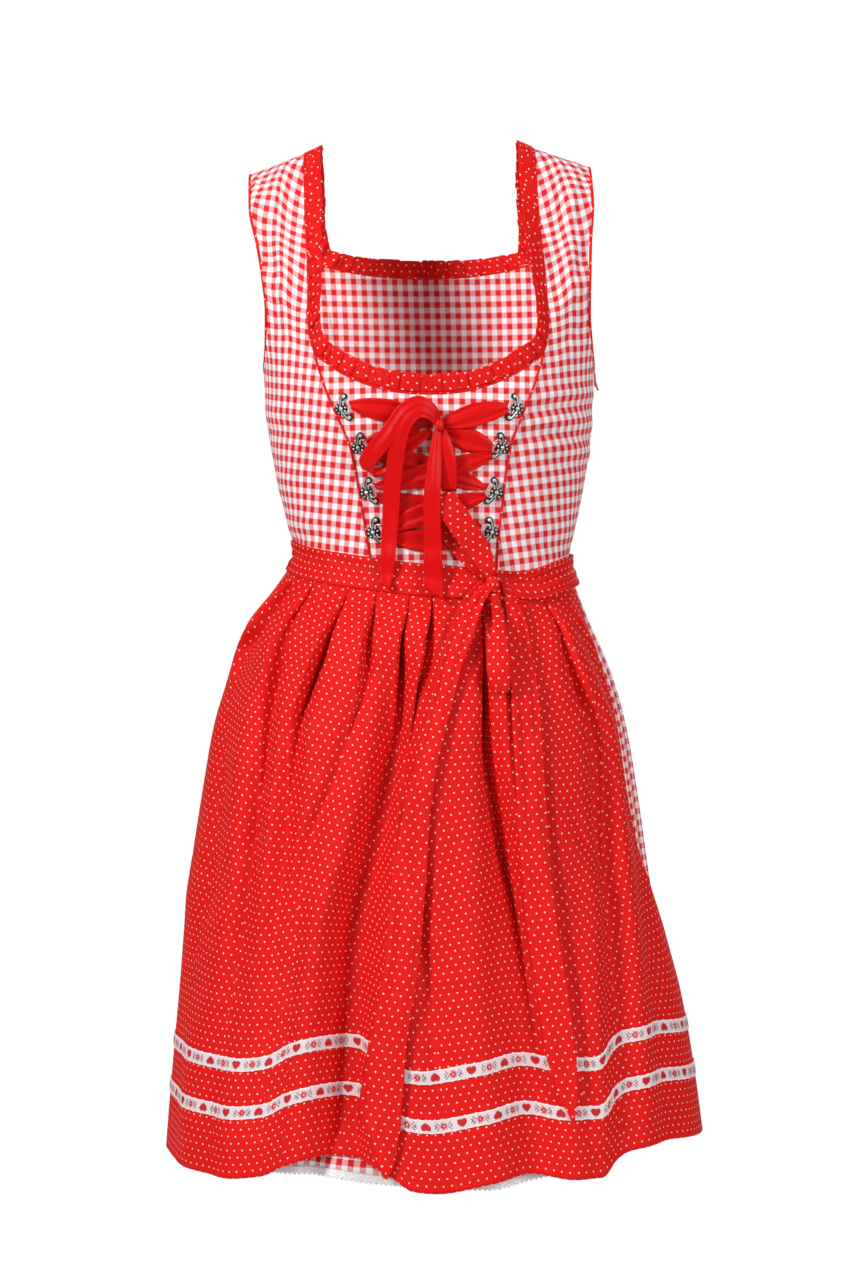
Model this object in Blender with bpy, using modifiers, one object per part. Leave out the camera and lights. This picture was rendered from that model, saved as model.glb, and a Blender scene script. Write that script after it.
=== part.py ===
"""Dirndl dress: a fitted gingham bodice with a frilled neckline and laced front, a gathered gingham skirt
with a lace edge, and a dotted apron with two ribbon trims, tied in a bow at the wearer's left front.

Sizes are in millimetres. X runs to the wearer's left, the front faces -Y and Z is up. The origin lies
between the shoulder seams, where the wearer's shoulders carry the dress.
"""

import bmesh
import bpy
import numpy as np
from mathutils import Matrix

MM = 0.001

# Cloth and seams
WALL = 1.2  # bodice, skirt and frill
APRON_WALL = 1.4
BAND_WALL = 1.8
RIBBON_WALL = 1.0
TRIM_WALL = 1.0
SEAM_GAP = 0.3
LAY_GAP = 1.4  # between a trim and the panel that carries it

# Body sections
ROUNDNESS = 2.3  # exponent of each section, where 2 is an ellipse
SIDE_COLUMNS, CENTRE_COLUMNS = 8, 12
BACK_COLUMNS, BACK_CENTRE_COLUMNS = 5, 10
SHOULDER_HEIGHT = 14.0  # of the shoulder line at the neck edge
SHOULDER_SLOPE = 0.37
SHOULDER_TILT = 0.022  # the wearer's left shoulder is carried a little higher
SHOULDER_TURNS = (68, 50, 34, 17, 0.35)  # degrees round from the ridge, for the strap's last rows
SHOULDER_ROUND = 60.0  # drop over which the shoulder turns from ridge to chest
BUST_OUT = 9.0
BUST_X = 74.0
BUST_HEIGHT = -236.0
BUST_SPREAD = 44.0

# Neck opening
NECK_HALF = 107.0
NECK_FRONT = -222.0
NECK_BACK = -96.0
FRILL_WIDTH = 16.0
FRILL_WALL = 1.0
FRILL_STAND, FRILL_WAVE = 2.5, 1.7  # of the free edge, out from the bodice surface
FRILL_ROOT_STAND, FRILL_ROOT_WAVE = 0.2, 0.25
FRILL_PITCHES = {"front": 11.0, "back": 13.0}  # from gather to gather
FRILL_STEPS = 3  # columns in each gather of the frill
FRILL_GAP = 1.1
PIPING_RADIUS = 1.3
SEAM_PIPING_RADIUS, SEAM_PIPING_SHORT = 1.04, 4.0  # and how far it stops below the neck edge

# Waist
BAND_WIDTH = 29.0
BAND_OUT = 4.2  # inner face of the waistband, out from the bodice
STRAP_OUT = BAND_OUT + BAND_WALL + 2.2
STRAP_OUT_BACK = 5.2
BAND_LEFT, BAND_RIGHT = -90.0, 74.0  # angles where the waistband ends

WAIST_GAP = 0.5  # cut edges under the waistband
WAIST_LEVEL = -375.0  # height at which the sections of skirt and bodice meet
STRAP_START, STRAP_END = 34.5, 268.0
STRAP_RISE = 22.0  # degrees over which the strap climbs on to the waistband
STRAP_DROP = 5.0
STRAP_LIFT, STRAP_LIFT_FROM, STRAP_LIFT_OVER = 2.1, 45.0, 15.0  # under pieces laid near the knot
EASE = 18.0  # height over which a laid ribbon rises on to the waistband
KNOT_FULLNESS = 1.25  # a rounded block shrinks by this much
SIDE_CORD_TOP, SIDE_CORD_RADIUS = -193.5, 0.8
# How far the side cord stands out, its y and its drop, from one free end to the other
SIDE_CORD = (
    (0.3, -3.2, 13),
    (0, -2.6, 6),
    (0, -1.6, 1.2),
    (0, 0, 0),
    (0, 1.6, 1.2),
    (0.6, 2.6, 7),
    (3.4, 3.4, 16),
)

# Skirt and apron
SKIRT_GATHERS = {"front": 13, "back": 20}
GATHER_STEPS = 3  # columns in each gather
GATHER_SHIFT = 0.008  # share of the width by which gathers crowd and spread
GATHER_UNEVEN_TURNS = (7.3, 17.9)  # half turns of the slow and the quick change in their size
SKIRT_ROW_SHARES = (0, 0.03, 0.12, 0.36, 0.68, 1.0)
LACE_DROP = 8.0
APRON_COLUMNS = 56
TRIM_WIDTH = 11.0


def columns(names, *rows):
    """A short table as one array for each named column."""
    return dict(zip(names.split(), np.array(rows, float).T))


BODICE_SECTIONS = columns(
    "height half_width front back middle lean",
    (-420, 123, 93, 94, 0, 4),
    (-375, 124, 94, 94, 0, 4),
    (-340, 131, 96, 96, 0, 3),
    (-302, 140, 101, 100, 0, 2),
    (-262, 147, 107, 104, 0, 1),
    (-220, 151, 110, 107, 0, 0),
    (-190, 152, 108, 106, 0, 0),
    (-145, 161, 96, 98, 2, -1),
    (-100, 173, 80, 88, 6, -3),
    (-60, 184, 67, 76, 11, -6),
    (30, 198, 52, 56, 18, -10),
)
SKIRT_SECTIONS = columns(
    "height half_width front back lean",
    (-960, 245, 178, 210, 7),
    (-906, 241, 175, 206, 5),
    (-823, 232, 168, 197, 3),
    (-767, 224, 163, 190, 1),
    (-711, 214, 158, 184, -4),
    (-670, 207, 154, 178, -8),
    (-602, 197, 146, 168, -7),
    (-528, 185, 136, 155, -6),
    (-480, 172, 126, 142, -5),
    (-435, 154, 113, 124, -5),
    (-404, 137, 102, 107, 0),
    (-375, 124, 94, 94, 4),
)
# Middle of the waistband, round from the wearer's right side past the front centre
WAIST_LINE = columns(
    "angle height",
    (-180, -366),
    (-90, -363),
    (-60, -371),
    (-35, -378),
    (0, -388),
    (35, -394),
    (60, -384),
    (90, -375),
    (180, -366),
)
# Rows of a side front: the inner edge runs up the princess seam and then the neckline, the outer edge
# up the side seam (outer_x 0) and then the armhole. x is the distance from the centre line.
FRONT_ROWS = columns(
    "inner_x inner_height outer_x outer_height",
    (60, -341, 0, -345),
    (65, -305, 0, -310),
    (71, -270, 0, -276),
    (82, -241, 0, -246),
    (94, -211, 0, -218),
    (102.5, -184, 0, -194),
    (107, -170, 151.5, -190),
    (109, -150, 148.5, -170),
    (108.5, -126, 147, -142),
    (108, -98, 149, -108),
    (107.5, -70, 152, -78),
)
BACK_ROWS = columns(
    "inner_x inner_height outer_x outer_height",
    (48, -341, 0, -345),
    (52, -305, 0, -310),
    (58, -270, 0, -276),
    (65, -241, 0, -246),
    (74, -211, 0, -218),
    (83, -180, 0, -194),
    (90, -146, 151, -190),
    (96, -112, 146, -168),
    (101, -84, 143, -138),
    (104.5, -70, 145, -106),
    (106.5, -58, 150.5, -76),
)
SEAM_ROWS = 6  # rows that lie below the neckline in front
BACK_SEAM_ROWS = 9
# Apron valleys: where each runs in the front view, how far it spreads and how deep it is
APRON_VALLEYS = columns(
    "top_x middle_x hem_x top_spread hem_spread top_depth middle_depth hem_depth",
    (-117, -181, -226, 4, 15, 3.0, 8.0, 4.0),
    (-103, -148, -186, 4, 17, 3.5, 9.0, 6.0),
    (-76, -124, -122, 4, 20, 4.0, 10.0, 13.0),
    (-46, -88, -85, 4, 17, 3.5, 8.0, 7.0),
    (-16, -36, -38, 4, 15, 3.5, 14.0, 25.0),
    (10, 6, 22, 4, 14, 3.0, 7.0, 5.0),
    (45, 71, 88, 5, 17, 3.5, 15.0, 13.0),
    (80, 92, 128, 4, 16, 4.0, 8.0, 5.0),
    (100, 148, 160, 4, 17, 4.0, 13.0, 17.0),
    (118, 176, 206, 4, 16, 2.5, 5.0, 7.0),
)
VALLEY_LEVELS = (-410.0, -600.0, -905.0)  # heights that top, middle and hem stand for
APRON_HEM = columns(
    "x height",
    (-250, -905),
    (-214, -914),
    (-170, -918),
    (-140, -914),
    (-118, -903),
    (-92, -895),
    (-60, -897),
    (-34, -906),
    (-12, -921),
    (12, -923),
    (50, -915),
    (82, -909),
    (120, -914),
    (142, -914),
    (156, -901),
    (172, -893),
    (204, -889),
    (256, -893),
)
APRON_ROW_SHARES = (0.17, 0.34, 0.5, 0.65, 0.78, 0.88, 0.95, 1.0)  # of the way up from the trims
TRIM_RAISES = {"apron_trim_upper": 105.0, "apron_trim_lower": 63.0}  # top edge above the hem
TRIM_ZONE = (112.0, 46.0)  # rows of the apron, above the hem, that the two trims lie between
# How far the apron's edges wrap round, how far its pleats stand out from the skirt, and the gathers' size
APRON_EDGES = columns(
    "height right left out_side out_front",
    (-405, -89, 71, 3.4, 3.6),
    (-440, -93, 68, 6.0, 8),
    (-520, -96, 67, 7.0, 12),
    (-610, -97, 66, 8.0, 16),
    (-680, -98, 69, 8.0, 20),
    (-730, -98, 78, 7.0, 22),
    (-800, -99, 86, 7.0, 24),
    (-910, -100, 91, 7.0, 26),
)
GATHER_SIZES = columns(
    "height front back",
    (-375, 1.1, 1.1),
    (-410, 1.5, 2.6),
    (-520, 2.0, 5.0),
    (-700, 2.2, 7.5),
    (-910, 2.6, 9.0),
)
SKIRT_HEM = columns(
    "angle height",
    (-180, -904),
    (-90, -898),
    (-55, -901),
    (-38, -905),
    (-25, -905),
    (-8, -912),
    (8, -916),
    (20, -907),
    (40, -890),
    (65, -880),
    (90, -880),
    (130, -893),
    (180, -904),
)

# Hooks: distance from the centre line and height
HOOKS = columns("x height stand", (77, -234, -0.2), (63, -268, 0.2), (56.5, -308, 0.9), (51.5, -344, 0.9))
HOOK_LENGTH, HOOK_WIDTH, HOOK_THICK = 24.0, 11.0, 3.4
HOOK_PROFILE = ((0, 0.95), (1.6, 1.0), (HOOK_THICK, 0.35))  # height and size of its outline there
HOOK_LEAN = 16.0  # degrees, along the princess seam
LACE_HALF = 7.0  # half width of a laced stretch in the open
LACE_END = 2.4  # half width where it goes through a hook
# Lacing stretches, from hook to hook or hook to knot: x and height of three points, and the lift
LACINGS = {
    "lace_top_right": ((-71, -231), (-36, -237), (4, -247), 2.4),
    "lace_top_left": ((71.4, -233), (42, -240), (12.8, -248), 2.4),
    "lace_second_right": ((-56, -265), (-32, -260), (-14, -256), 1.0),
    "lace_second_left": ((57, -270), (38, -264), (20, -259), 1.0),
    "lace_cross_upper_a": ((57, -276), (6, -292), (-48, -304), 2.6),
    "lace_cross_upper_b": ((-54.5, -272), (-6, -286), (51, -305), 0.8),
    "lace_cross_lower_a": ((51, -312), (4, -326), (-43, -341), 2.6),
    "lace_cross_lower_b": ((-48, -312), (-2, -324), (47, -341), 0.8),
    "lace_bottom": ((-43, -348), (0, -352), (47, -348), 0.8),
}
BOW_KNOT = (8.0, -249.0)
# Bow pieces: the middle line of the ribbon in the front view, its lift, half width and the angle of its width
BOW_LOOP_RIGHT = columns(
    "x height lift half tilt",
    (2.6, -244.2, 9, 3.5, 60),
    (-3, -234, 13, 6, 80),
    (-17, -234, 15, 8, 110),
    (-34, -248, 15, 9, 128),
    (-48, -266, 14, 9, 150),
    (-53, -279, 12, 8.5, 165),
    (-51, -285, 9.6, 8.5, 160),
    (-42, -282, 7.8, 8.5, 140),
    (-26, -268, 7.6, 7, 130),
    (-4, -250, 7.6, 3.5, 125),
)
BOW_LOOP_LEFT = columns(
    "x height lift half tilt",
    (16.4, -252, 10, 3, 190),
    (20, -272, 14, 5, 184),
    (22, -290, 13, 6, 180),
    (21, -303, 11, 5, 178),
    (20, -307, 9, 4.4, 176),
    (20, -299, 7.6, 5, 178),
    (20, -280, 7.6, 5, 182),
    (16.4, -253, 7.0, 3, 185),
)
BOW_TAIL_RIGHT = columns(
    "x height lift half tilt",
    (-3, -258, 5.2, 3.5, 140),
    (-21, -270, 5.2, 7, 150),
    (-31, -290, 5.2, 8, 172),
    (-33, -320, 5.2, 8, 180),
    (-34, -350, 5.2, 8, 180),
    (-35, -372, 5.2, 7.5, 180),
    (-35, -394, 4.0, 5.5, 180),
)
BOW_TAIL_CENTRE = columns(
    "x height lift half tilt",
    (7, -256, 6.6, 4, 180),
    (5, -272, 5.6, 7, 180),
    (3, -295, 5.2, 8, 180),
    (2, -325, 5.2, 8, 180),
    (2, -352, 5.2, 8, 180),
    (4, -372, 5.2, 8, 180),
    (4, -390, 4.0, 8, 168),
    (9, -402, 4.0, 4, 140),
)
TIE_KNOT = (61.0, -392.0)
TIE_LOOP_UP = columns(
    "x height lift half tilt",
    (57, -383, 4.5, 6, 30),
    (50, -368, 5.5, 12, 32),
    (42, -345, 7.5, 16, 26),
    (34, -324, 8.5, 15.5, 22),
    (31, -318, 11, 15.5, 20),
    (34, -324, 14, 15.5, 20),
    (42, -345, 14.5, 15.5, 26),
    (51, -368, 13.5, 11, 32),
    (59, -383, 12, 6, 30),
)
TIE_LOOP_DOWN = columns(
    "x height lift half tilt",
    (62, -400.9, 6.5, 5, 180),
    (61, -425, 13, 8, 180),
    (62, -452, 16, 10.5, 180),
    (65, -474, 15, 8, 180),
    (67, -482, 12, 6, 180),
    (65, -474, 8.5, 8, 180),
    (63, -452, 7.5, 10, 180),
    (62, -425, 7.0, 8, 180),
    (62, -400.9, 3.0, 5, 180),
)
TIE_TAIL_LONG = columns(
    "x height lift half tilt",
    (50, -394, 6.0, 7, 150),
    (36, -412, 5.0, 12, 160),
    (26, -440, 4.0, 17, 166),
    (18, -480, 3.8, 19, 170),
    (12, -530, 3.8, 20, 172),
    (0, -590, 3.8, 19, 172),
    (-8, -650, 4.4, 19, 173),
    (-18, -720, 6.0, 19, 173),
    (-26, -780, 6.0, 19, 174),
    (-33, -835, 5.6, 19, 174),
    (-38, -875, 5.2, 17, 176),
    (-38, -900, 3.8, 8, 180),
    (-38, -914, 3.8, 1.5, 180),
)
TIE_TAIL_SIDE = columns(
    "x height lift half tilt",
    (72, -402, 3.0, 5, 190),
    (79, -430, 2.5, 9, 190),
    (84, -480, 2.5, 12, 188),
    (88, -540, 2.5, 13, 186),
    (92, -610, 2.5, 13, 186),
    (99, -690, 2.5, 14, 188),
    (108, -750, 2.5, 14, 188),
    (115, -800, 2.5, 13, 188),
    (121, -835, 2.5, 9, 186),
    (126, -862, 2.5, 1.5, 180),
)


def through(keys, values, at):
    """Value at each place on the curve through the table's rows, which never overshoots a row."""
    order = np.argsort(keys)
    keys, values, at = keys[order], values[order], np.asarray(at, float)
    steps = np.diff(keys)
    slopes = np.diff(values) / steps
    bends = np.zeros_like(values)
    product = slopes[:-1] * slopes[1:]
    total = np.where(product > 0, slopes[:-1] + slopes[1:], 1)
    bends[1:-1] = np.where(product > 0, 2 * product / total, 0)
    bends[0], bends[-1] = slopes[0], slopes[-1]
    row = np.clip(np.searchsorted(keys, at) - 1, 0, len(steps) - 1)
    share = np.clip((at - keys[row]) / steps[row], 0, 1)
    low, high = values[row], values[row + 1]
    cubic = share * share * (3 - 2 * share)
    return (
        low + (high - low) * cubic
        + share * (1 - share) ** 2 * steps[row] * bends[row]
        - share**2 * (1 - share) * steps[row] * bends[row + 1]
    )


def section(table, name, height):
    return through(table["height"], table[name], height)


def power(value, exponent):
    return np.sign(value) * np.abs(value) ** exponent


def shoulder_line(x):
    return SHOULDER_HEIGHT - SHOULDER_SLOPE * (np.abs(x) - NECK_HALF) + SHOULDER_TILT * x


def bodice_point(angle, height, out=0.0):
    """Point of the bodice surface at an angle from the front centre, moved out along the section."""
    angle, height = np.radians(angle), np.asarray(height, float)
    half = section(BODICE_SECTIONS, "half_width", height)
    sine, cosine = np.sin(angle), np.cos(angle)
    x = half * power(sine, 2 / ROUNDNESS)
    drop = np.clip((shoulder_line(x) - height) / SHOULDER_ROUND, 0, 1)
    crown = np.sqrt(1 - (1 - drop) ** 2)
    front = section(BODICE_SECTIONS, "front", height)
    back = section(BODICE_SECTIONS, "back", height)
    depth = np.where(cosine > 0, front, back) * crown
    bust_drop = (height - BUST_HEIGHT) / BUST_SPREAD
    bust = BUST_OUT * np.exp(-(((np.abs(x) - BUST_X) / BUST_SPREAD) ** 2) - bust_drop**2)
    y = -depth * power(cosine, 2 / ROUNDNESS) - np.where(cosine > 0, bust, 0)
    middle = section(BODICE_SECTIONS, "middle", height)
    lean = section(BODICE_SECTIONS, "lean", height)
    return np.stack([x + lean + out * sine, y + middle - out * cosine, height + 0 * x], -1)


def skirt_point(angle, height, out=0.0):
    """Point of the skirt's mean surface, moved out by the given amount."""
    angle, height = np.radians(angle), np.asarray(height, float)
    sine, cosine = np.sin(angle), np.cos(angle)
    half = section(SKIRT_SECTIONS, "half_width", height)
    depth = np.where(
        cosine > 0,
        section(SKIRT_SECTIONS, "front", height),
        section(SKIRT_SECTIONS, "back", height),
    )
    x = half * power(sine, 2 / ROUNDNESS) + section(SKIRT_SECTIONS, "lean", height)
    y = -depth * power(cosine, 2 / ROUNDNESS)
    return np.stack([x + out * sine, y - out * cosine, height + 0 * x], -1)


def bodice_angle(x, height):
    """Angle of the front point at a distance x from the centre line."""
    share = np.clip(np.abs(x) / section(BODICE_SECTIONS, "half_width", height), 0, 1)
    return np.degrees(np.arcsin(share ** (ROUNDNESS / 2))) * np.sign(x)


def skirt_angle(x, height):
    """Angle of the front point of the skirt at a given x."""
    away = x - section(SKIRT_SECTIONS, "lean", height)
    share = np.clip(np.abs(away) / section(SKIRT_SECTIONS, "half_width", height), 0, 1)
    return np.degrees(np.arcsin(share ** (ROUNDNESS / 2))) * np.sign(away)


def waist(angle):
    """Height of the waistline at an angle between -180 and 180."""
    return through(WAIST_LINE["angle"], WAIST_LINE["height"], angle)


def unit(vectors):
    return vectors / np.maximum(np.linalg.norm(vectors, axis=-1, keepdims=True), 1e-9)


def normals(grid):
    """Outward normal at each point of a grid whose rows run up and columns run to the wearer's left."""
    rising, falling = grid[1:, 1:] - grid[:-1, :-1], grid[1:, :-1] - grid[:-1, 1:]
    face = unit(np.cross(rising, falling))
    total = np.zeros_like(grid)
    for rows in (slice(None, -1), slice(1, None)):
        for across in (slice(None, -1), slice(1, None)):
            total[rows, across] += face
    return unit(total)


# --- Objects


def material(name, colour, roughness, metallic=0.0):
    found = bpy.data.materials.get(name)
    if found:
        return found
    made = bpy.data.materials.new(name)
    made.use_nodes = True
    shader = made.node_tree.nodes["Principled BSDF"]
    shader.inputs["Base Color"].default_value = (*colour, 1)
    shader.inputs["Roughness"].default_value = roughness
    shader.inputs["Metallic"].default_value = metallic
    return made


def gingham():
    return material("red and white gingham", (0.72, 0.22, 0.23), 0.9)


def dotted_cotton():
    return material("red dotted cotton", (0.72, 0.02, 0.02), 0.85)


def red_satin():
    return material("red satin ribbon", (0.7, 0.01, 0.01), 0.35)


def piping_cotton():
    return material("red piping", (0.6, 0.015, 0.02), 0.8)


def add_object(name, mesh, finish):
    item = bpy.data.objects.new(name, mesh)
    item.data.materials.append(finish)
    DRESS.objects.link(item)
    return item


def thicken(item, wall, outward=True):
    solidify = item.modifiers.new("wall", "SOLIDIFY")
    solidify.thickness = wall * MM
    solidify.offset = 1 if outward else -1
    return item


def grid_mesh(name, grids, ring=False):
    """A mesh of one or more grids of points in mm, with shared edges welded."""
    shape = bmesh.new()
    for grid in grids:
        points = [[shape.verts.new(point * MM) for point in row] for row in grid]
        across = len(points[0])
        for low, high in zip(points, points[1:]):
            for i in range(across if ring else across - 1):
                j = (i + 1) % across
                shape.faces.new((low[i], low[j], high[j], high[i]))
    if len(grids) > 1:
        bmesh.ops.remove_doubles(shape, verts=shape.verts, dist=0.02 * MM)
    mesh = bpy.data.meshes.new(name)
    shape.to_mesh(mesh)
    shape.free()
    mesh.shade_smooth()
    return mesh


def cloth(name, grids, wall, finish, ring=False):
    return thicken(add_object(name, grid_mesh(name, grids, ring), finish), wall)


def cord(name, points, radius, finish, closed=False, round_steps=0):
    """A cord along a line of points in mm, with four sides or more."""
    curve = bpy.data.curves.new(name, "CURVE")
    curve.dimensions = "3D"
    curve.bevel_depth = radius * MM
    curve.bevel_resolution = round_steps
    curve.use_fill_caps = not closed
    spline = curve.splines.new("POLY")
    spline.points.add(len(points) - 1)
    for place, point in zip(spline.points, points):
        place.co = (*(point * MM), 1)
    spline.use_cyclic_u = closed
    return add_object(name, curve, finish)


# --- Bodice


def panel_rows(table, sign, back=False):
    """Edge points (angle, height) of a side panel's rows, from the waist up to the shoulder seam."""
    inner, outer = [], []
    turn = 180.0 if back else 0.0

    def place(x, height):
        angle = bodice_angle(x, height)
        return (turn - angle if back else angle), height

    start = place(table["inner_x"][0] - 4, waist(sign * 30))[0]
    inner.append((start, waist(sign * start) + WAIST_GAP))
    outer.append((90.0, waist(sign * 90) + WAIST_GAP))
    rows = zip(*(table[key] for key in ("inner_x", "inner_height", "outer_x", "outer_height")))
    for inner_x, inner_height, outer_x, outer_height in rows:
        inner.append(place(inner_x, inner_height))
        outer.append(place(outer_x, outer_height) if outer_x else (90.0, outer_height))
    for turned in SHOULDER_TURNS:
        drop = SHOULDER_ROUND * (1 - np.cos(np.radians(turned)))
        for edge, half in ((inner, NECK_HALF), (outer, NECK_HALF + 50)):
            edge.append(place(half, shoulder_line(sign * half) - drop))
    return np.array(inner), np.array(outer)


def side_panel(table, sign, across, back=False, gap=SEAM_GAP / 2):
    """Grid of a side panel; sign is 1 for the wearer's left and -1 for the right."""
    inner, outer = panel_rows(table, sign, back)
    share = np.linspace(0, 1, across + 1)[None, :, None]
    spread = inner[:, None] * (1 - share) + outer[:, None] * share
    edge = np.degrees(gap / 120.0)
    step = 1 if not back else -1
    if gap:
        spread[:, 0, 0] += step * edge
    spread[:, -1, 0] -= step * edge * (1 if gap else 2)
    spread[0, :, 1] = waist(sign * spread[0, :, 0]) + WAIST_GAP
    grid = bodice_point(sign * spread[..., 0], spread[..., 1])
    flip = (sign > 0) == back
    return grid[:, ::-1] if flip else grid


def centre_panel(table, seam_rows, top, across, back=False, gap=SEAM_GAP / 2):
    """Grid of the panel between the two seams, whose top edge is the dip of the neckline."""
    plus, _ = panel_rows(table, -1 if back else 1, back)
    minus, _ = panel_rows(table, 1 if back else -1, back)
    rows = seam_rows + 1
    middle = np.linspace(waist(180 if back else 0) + WAIST_GAP, top, rows)
    share = np.linspace(-1, 1, across + 1)
    centre = 180.0 if back else 0.0
    points = []
    for row in range(rows):
        edge = np.where(share > 0, plus[row, 0], minus[row, 0])
        height = np.where(share > 0, plus[row, 1], minus[row, 1])
        slack = np.degrees(gap / 120.0) * np.abs(share) ** 6
        half = np.abs(edge - centre) - slack
        angle = share * half if not back else 180.0 + share * half
        height = middle[row] + (height - middle[row]) * share**2
        if row == 0:
            height = waist((angle + 180) % 360 - 180) + WAIST_GAP
        points.append(bodice_point(angle, height))
    return np.array(points)


def make_bodice():
    for name, sign in (("bodice_front_left", 1), ("bodice_front_right", -1)):
        cloth(name, [side_panel(FRONT_ROWS, sign, SIDE_COLUMNS)], WALL, gingham())
    centre = centre_panel(FRONT_ROWS, SEAM_ROWS, NECK_FRONT, CENTRE_COLUMNS)
    cloth("bodice_front_centre", [centre], WALL, gingham())
    back = [centre_panel(BACK_ROWS, BACK_SEAM_ROWS, NECK_BACK, BACK_CENTRE_COLUMNS, back=True, gap=0)]
    back += [side_panel(BACK_ROWS, sign, BACK_COLUMNS, back=True, gap=0) for sign in (1, -1)]
    cloth("bodice_back", back, WALL, gingham())


def opening_direction(points, out):
    """Direction at each point of a closed edge that lies in the cloth and points into the opening."""
    along = unit(np.roll(points, -1, 0) - np.roll(points, 1, 0))
    return unit(np.cross(along, out))


def neck_edge():
    """(angle, height) round the neck opening: down the right front, along the dip, up the left front
    and back round the back neck. The second value is the number of front points."""
    front = []
    left, _ = panel_rows(FRONT_ROWS, 1)
    right, _ = panel_rows(FRONT_ROWS, -1)
    front += [(-angle, height) for angle, height in right[:SEAM_ROWS:-1]]
    corner = left[SEAM_ROWS]
    for share in np.linspace(-1, 1, 13):
        low = right[SEAM_ROWS] if share < 0 else corner
        front.append((share * low[0], NECK_FRONT + (low[1] - NECK_FRONT) * share**2))
    front += [(angle, height) for angle, height in left[SEAM_ROWS + 1 :]]
    left, _ = panel_rows(BACK_ROWS, 1, back=True)
    right, _ = panel_rows(BACK_ROWS, -1, back=True)
    back = [(angle, height) for angle, height in left[:BACK_SEAM_ROWS:-1]]
    corner = left[BACK_SEAM_ROWS]
    for share in np.linspace(1, -1, 11):
        low = corner if share > 0 else right[BACK_SEAM_ROWS]
        angle = 180 - share * (180 - low[0])
        back.append((angle, NECK_BACK + (low[1] - NECK_BACK) * share**2))
    back += [(-angle, height) for angle, height in right[BACK_SEAM_ROWS + 1 :]]
    return np.array(front), np.array(back)


def armhole_edge(sign):
    """(angle, height) round an armhole, up the front and down the back."""
    _, front = panel_rows(FRONT_ROWS, sign)
    _, back = panel_rows(BACK_ROWS, sign, back=True)
    loop = np.concatenate([front[SEAM_ROWS:], back[:SEAM_ROWS:-1]])
    return loop * (sign, 1)


def on_bodice(edge, out=0.0):
    return bodice_point(edge[:, 0], edge[:, 1], out)


def surface_out(edge):
    """Outward normal of the bodice at each point of an edge."""
    angle, height = edge[:, 0], edge[:, 1]
    across = bodice_point(angle + 0.5, height) - bodice_point(angle - 0.5, height)
    up = bodice_point(angle, height + 0.02) - bodice_point(angle, height - 0.5)
    return unit(np.cross(across, up))


def make_piping():
    edge = np.concatenate(neck_edge())
    out = surface_out(edge)
    points = on_bodice(edge)
    inward = -opening_direction(points, out)
    reach = PIPING_RADIUS + SEAM_GAP
    cord("neck_piping", points + inward * reach + out * WALL / 2, PIPING_RADIUS, piping_cotton(), True)
    for name, sign in (("armhole_piping_left", 1), ("armhole_piping_right", -1)):
        edge = armhole_edge(sign)
        out = surface_out(edge)
        points = on_bodice(edge)
        inward = sign * opening_direction(points, out)
        cord(name, points + inward * reach + out * WALL / 2, PIPING_RADIUS, piping_cotton(), True)
    for name, sign in (("seam_piping_left", 1), ("seam_piping_right", -1)):
        inner, _ = panel_rows(FRONT_ROWS, sign)
        seam = inner[: SEAM_ROWS + 1] * (sign, 1)
        seam[0, 1] += SEAM_GAP
        seam[-1, 1] -= SEAM_PIPING_SHORT
        lift = WALL + SEAM_PIPING_RADIUS + SEAM_GAP
        points = on_bodice(seam) + surface_out(seam) * lift
        cord(name, points, SEAM_PIPING_RADIUS, piping_cotton())


def resample(points, count):
    """The line through the points at even steps of its length."""
    steps = np.linalg.norm(np.diff(points, axis=0), axis=1)
    length = np.concatenate([[0], np.cumsum(steps)])
    at = np.linspace(0, length[-1], count)
    return np.stack([through(length, points[:, axis], at) for axis in range(3)], -1)


def make_frill():
    """The gathered strip inside the neck piping; its free edge waves and stands a little off the skin."""
    front, back = neck_edge()
    loop = np.concatenate([front, back])
    out = surface_out(loop)
    points = on_bodice(loop)
    inward = -opening_direction(points, out)
    root = points + inward * (2 * PIPING_RADIUS + FRILL_GAP)
    for half, start, count in (("front", 0, len(front)), ("back", len(front), len(back))):
        rows = np.arange(start, start + count)
        length = np.linalg.norm(np.diff(root[rows], axis=0), axis=1).sum()
        waves = round(length / FRILL_PITCHES[half])
        steps = waves * FRILL_STEPS + 1
        line = resample(root[rows], steps)
        side, rise = unit(resample(inward[rows], steps)), unit(resample(out[rows], steps))
        spacing = length / (steps - 1)
        free = line + side * FRILL_WIDTH
        crowd = np.linalg.norm(np.gradient(free, axis=0), axis=1) / spacing
        wave = np.sin(np.linspace(0, 2 * np.pi * waves, steps)) * np.clip(crowd, 0.1, 1)
        free = free + rise * (FRILL_STAND + FRILL_WAVE * wave)[:, None]
        line = line + rise * (FRILL_ROOT_STAND + FRILL_ROOT_WAVE * wave)[:, None]
        cloth(f"neck_frill_{half}", [np.array([line, free])], FRILL_WALL, dotted_cotton())


# --- Skirt and apron


def level(angle, height):
    """Height at which the skirt's sections are read, so that they start at the tilted waistline."""
    drop = waist(angle) - height
    return height + (WAIST_LEVEL - waist(angle)) * np.exp(-drop / 120.0)


def skirt_surface(angle, height, out):
    point = skirt_point(angle, level(angle, height), out)
    point[..., 2] = height
    return point


def skirt_hem(angle):
    return through(SKIRT_HEM["angle"], SKIRT_HEM["height"], angle)


def gather_wave(share, height, waves, column):
    """Outward wave of the gathers, uneven from one to the next, at a share of the way round."""
    slow, quick = (turns * share * np.pi for turns in GATHER_UNEVEN_TURNS)
    uneven = 0.75 + 0.3 * np.sin(slow + 0.6) + 0.2 * np.sin(quick)
    return section(GATHER_SIZES, column, height) * uneven * np.sin(2 * np.pi * waves * share)


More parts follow.
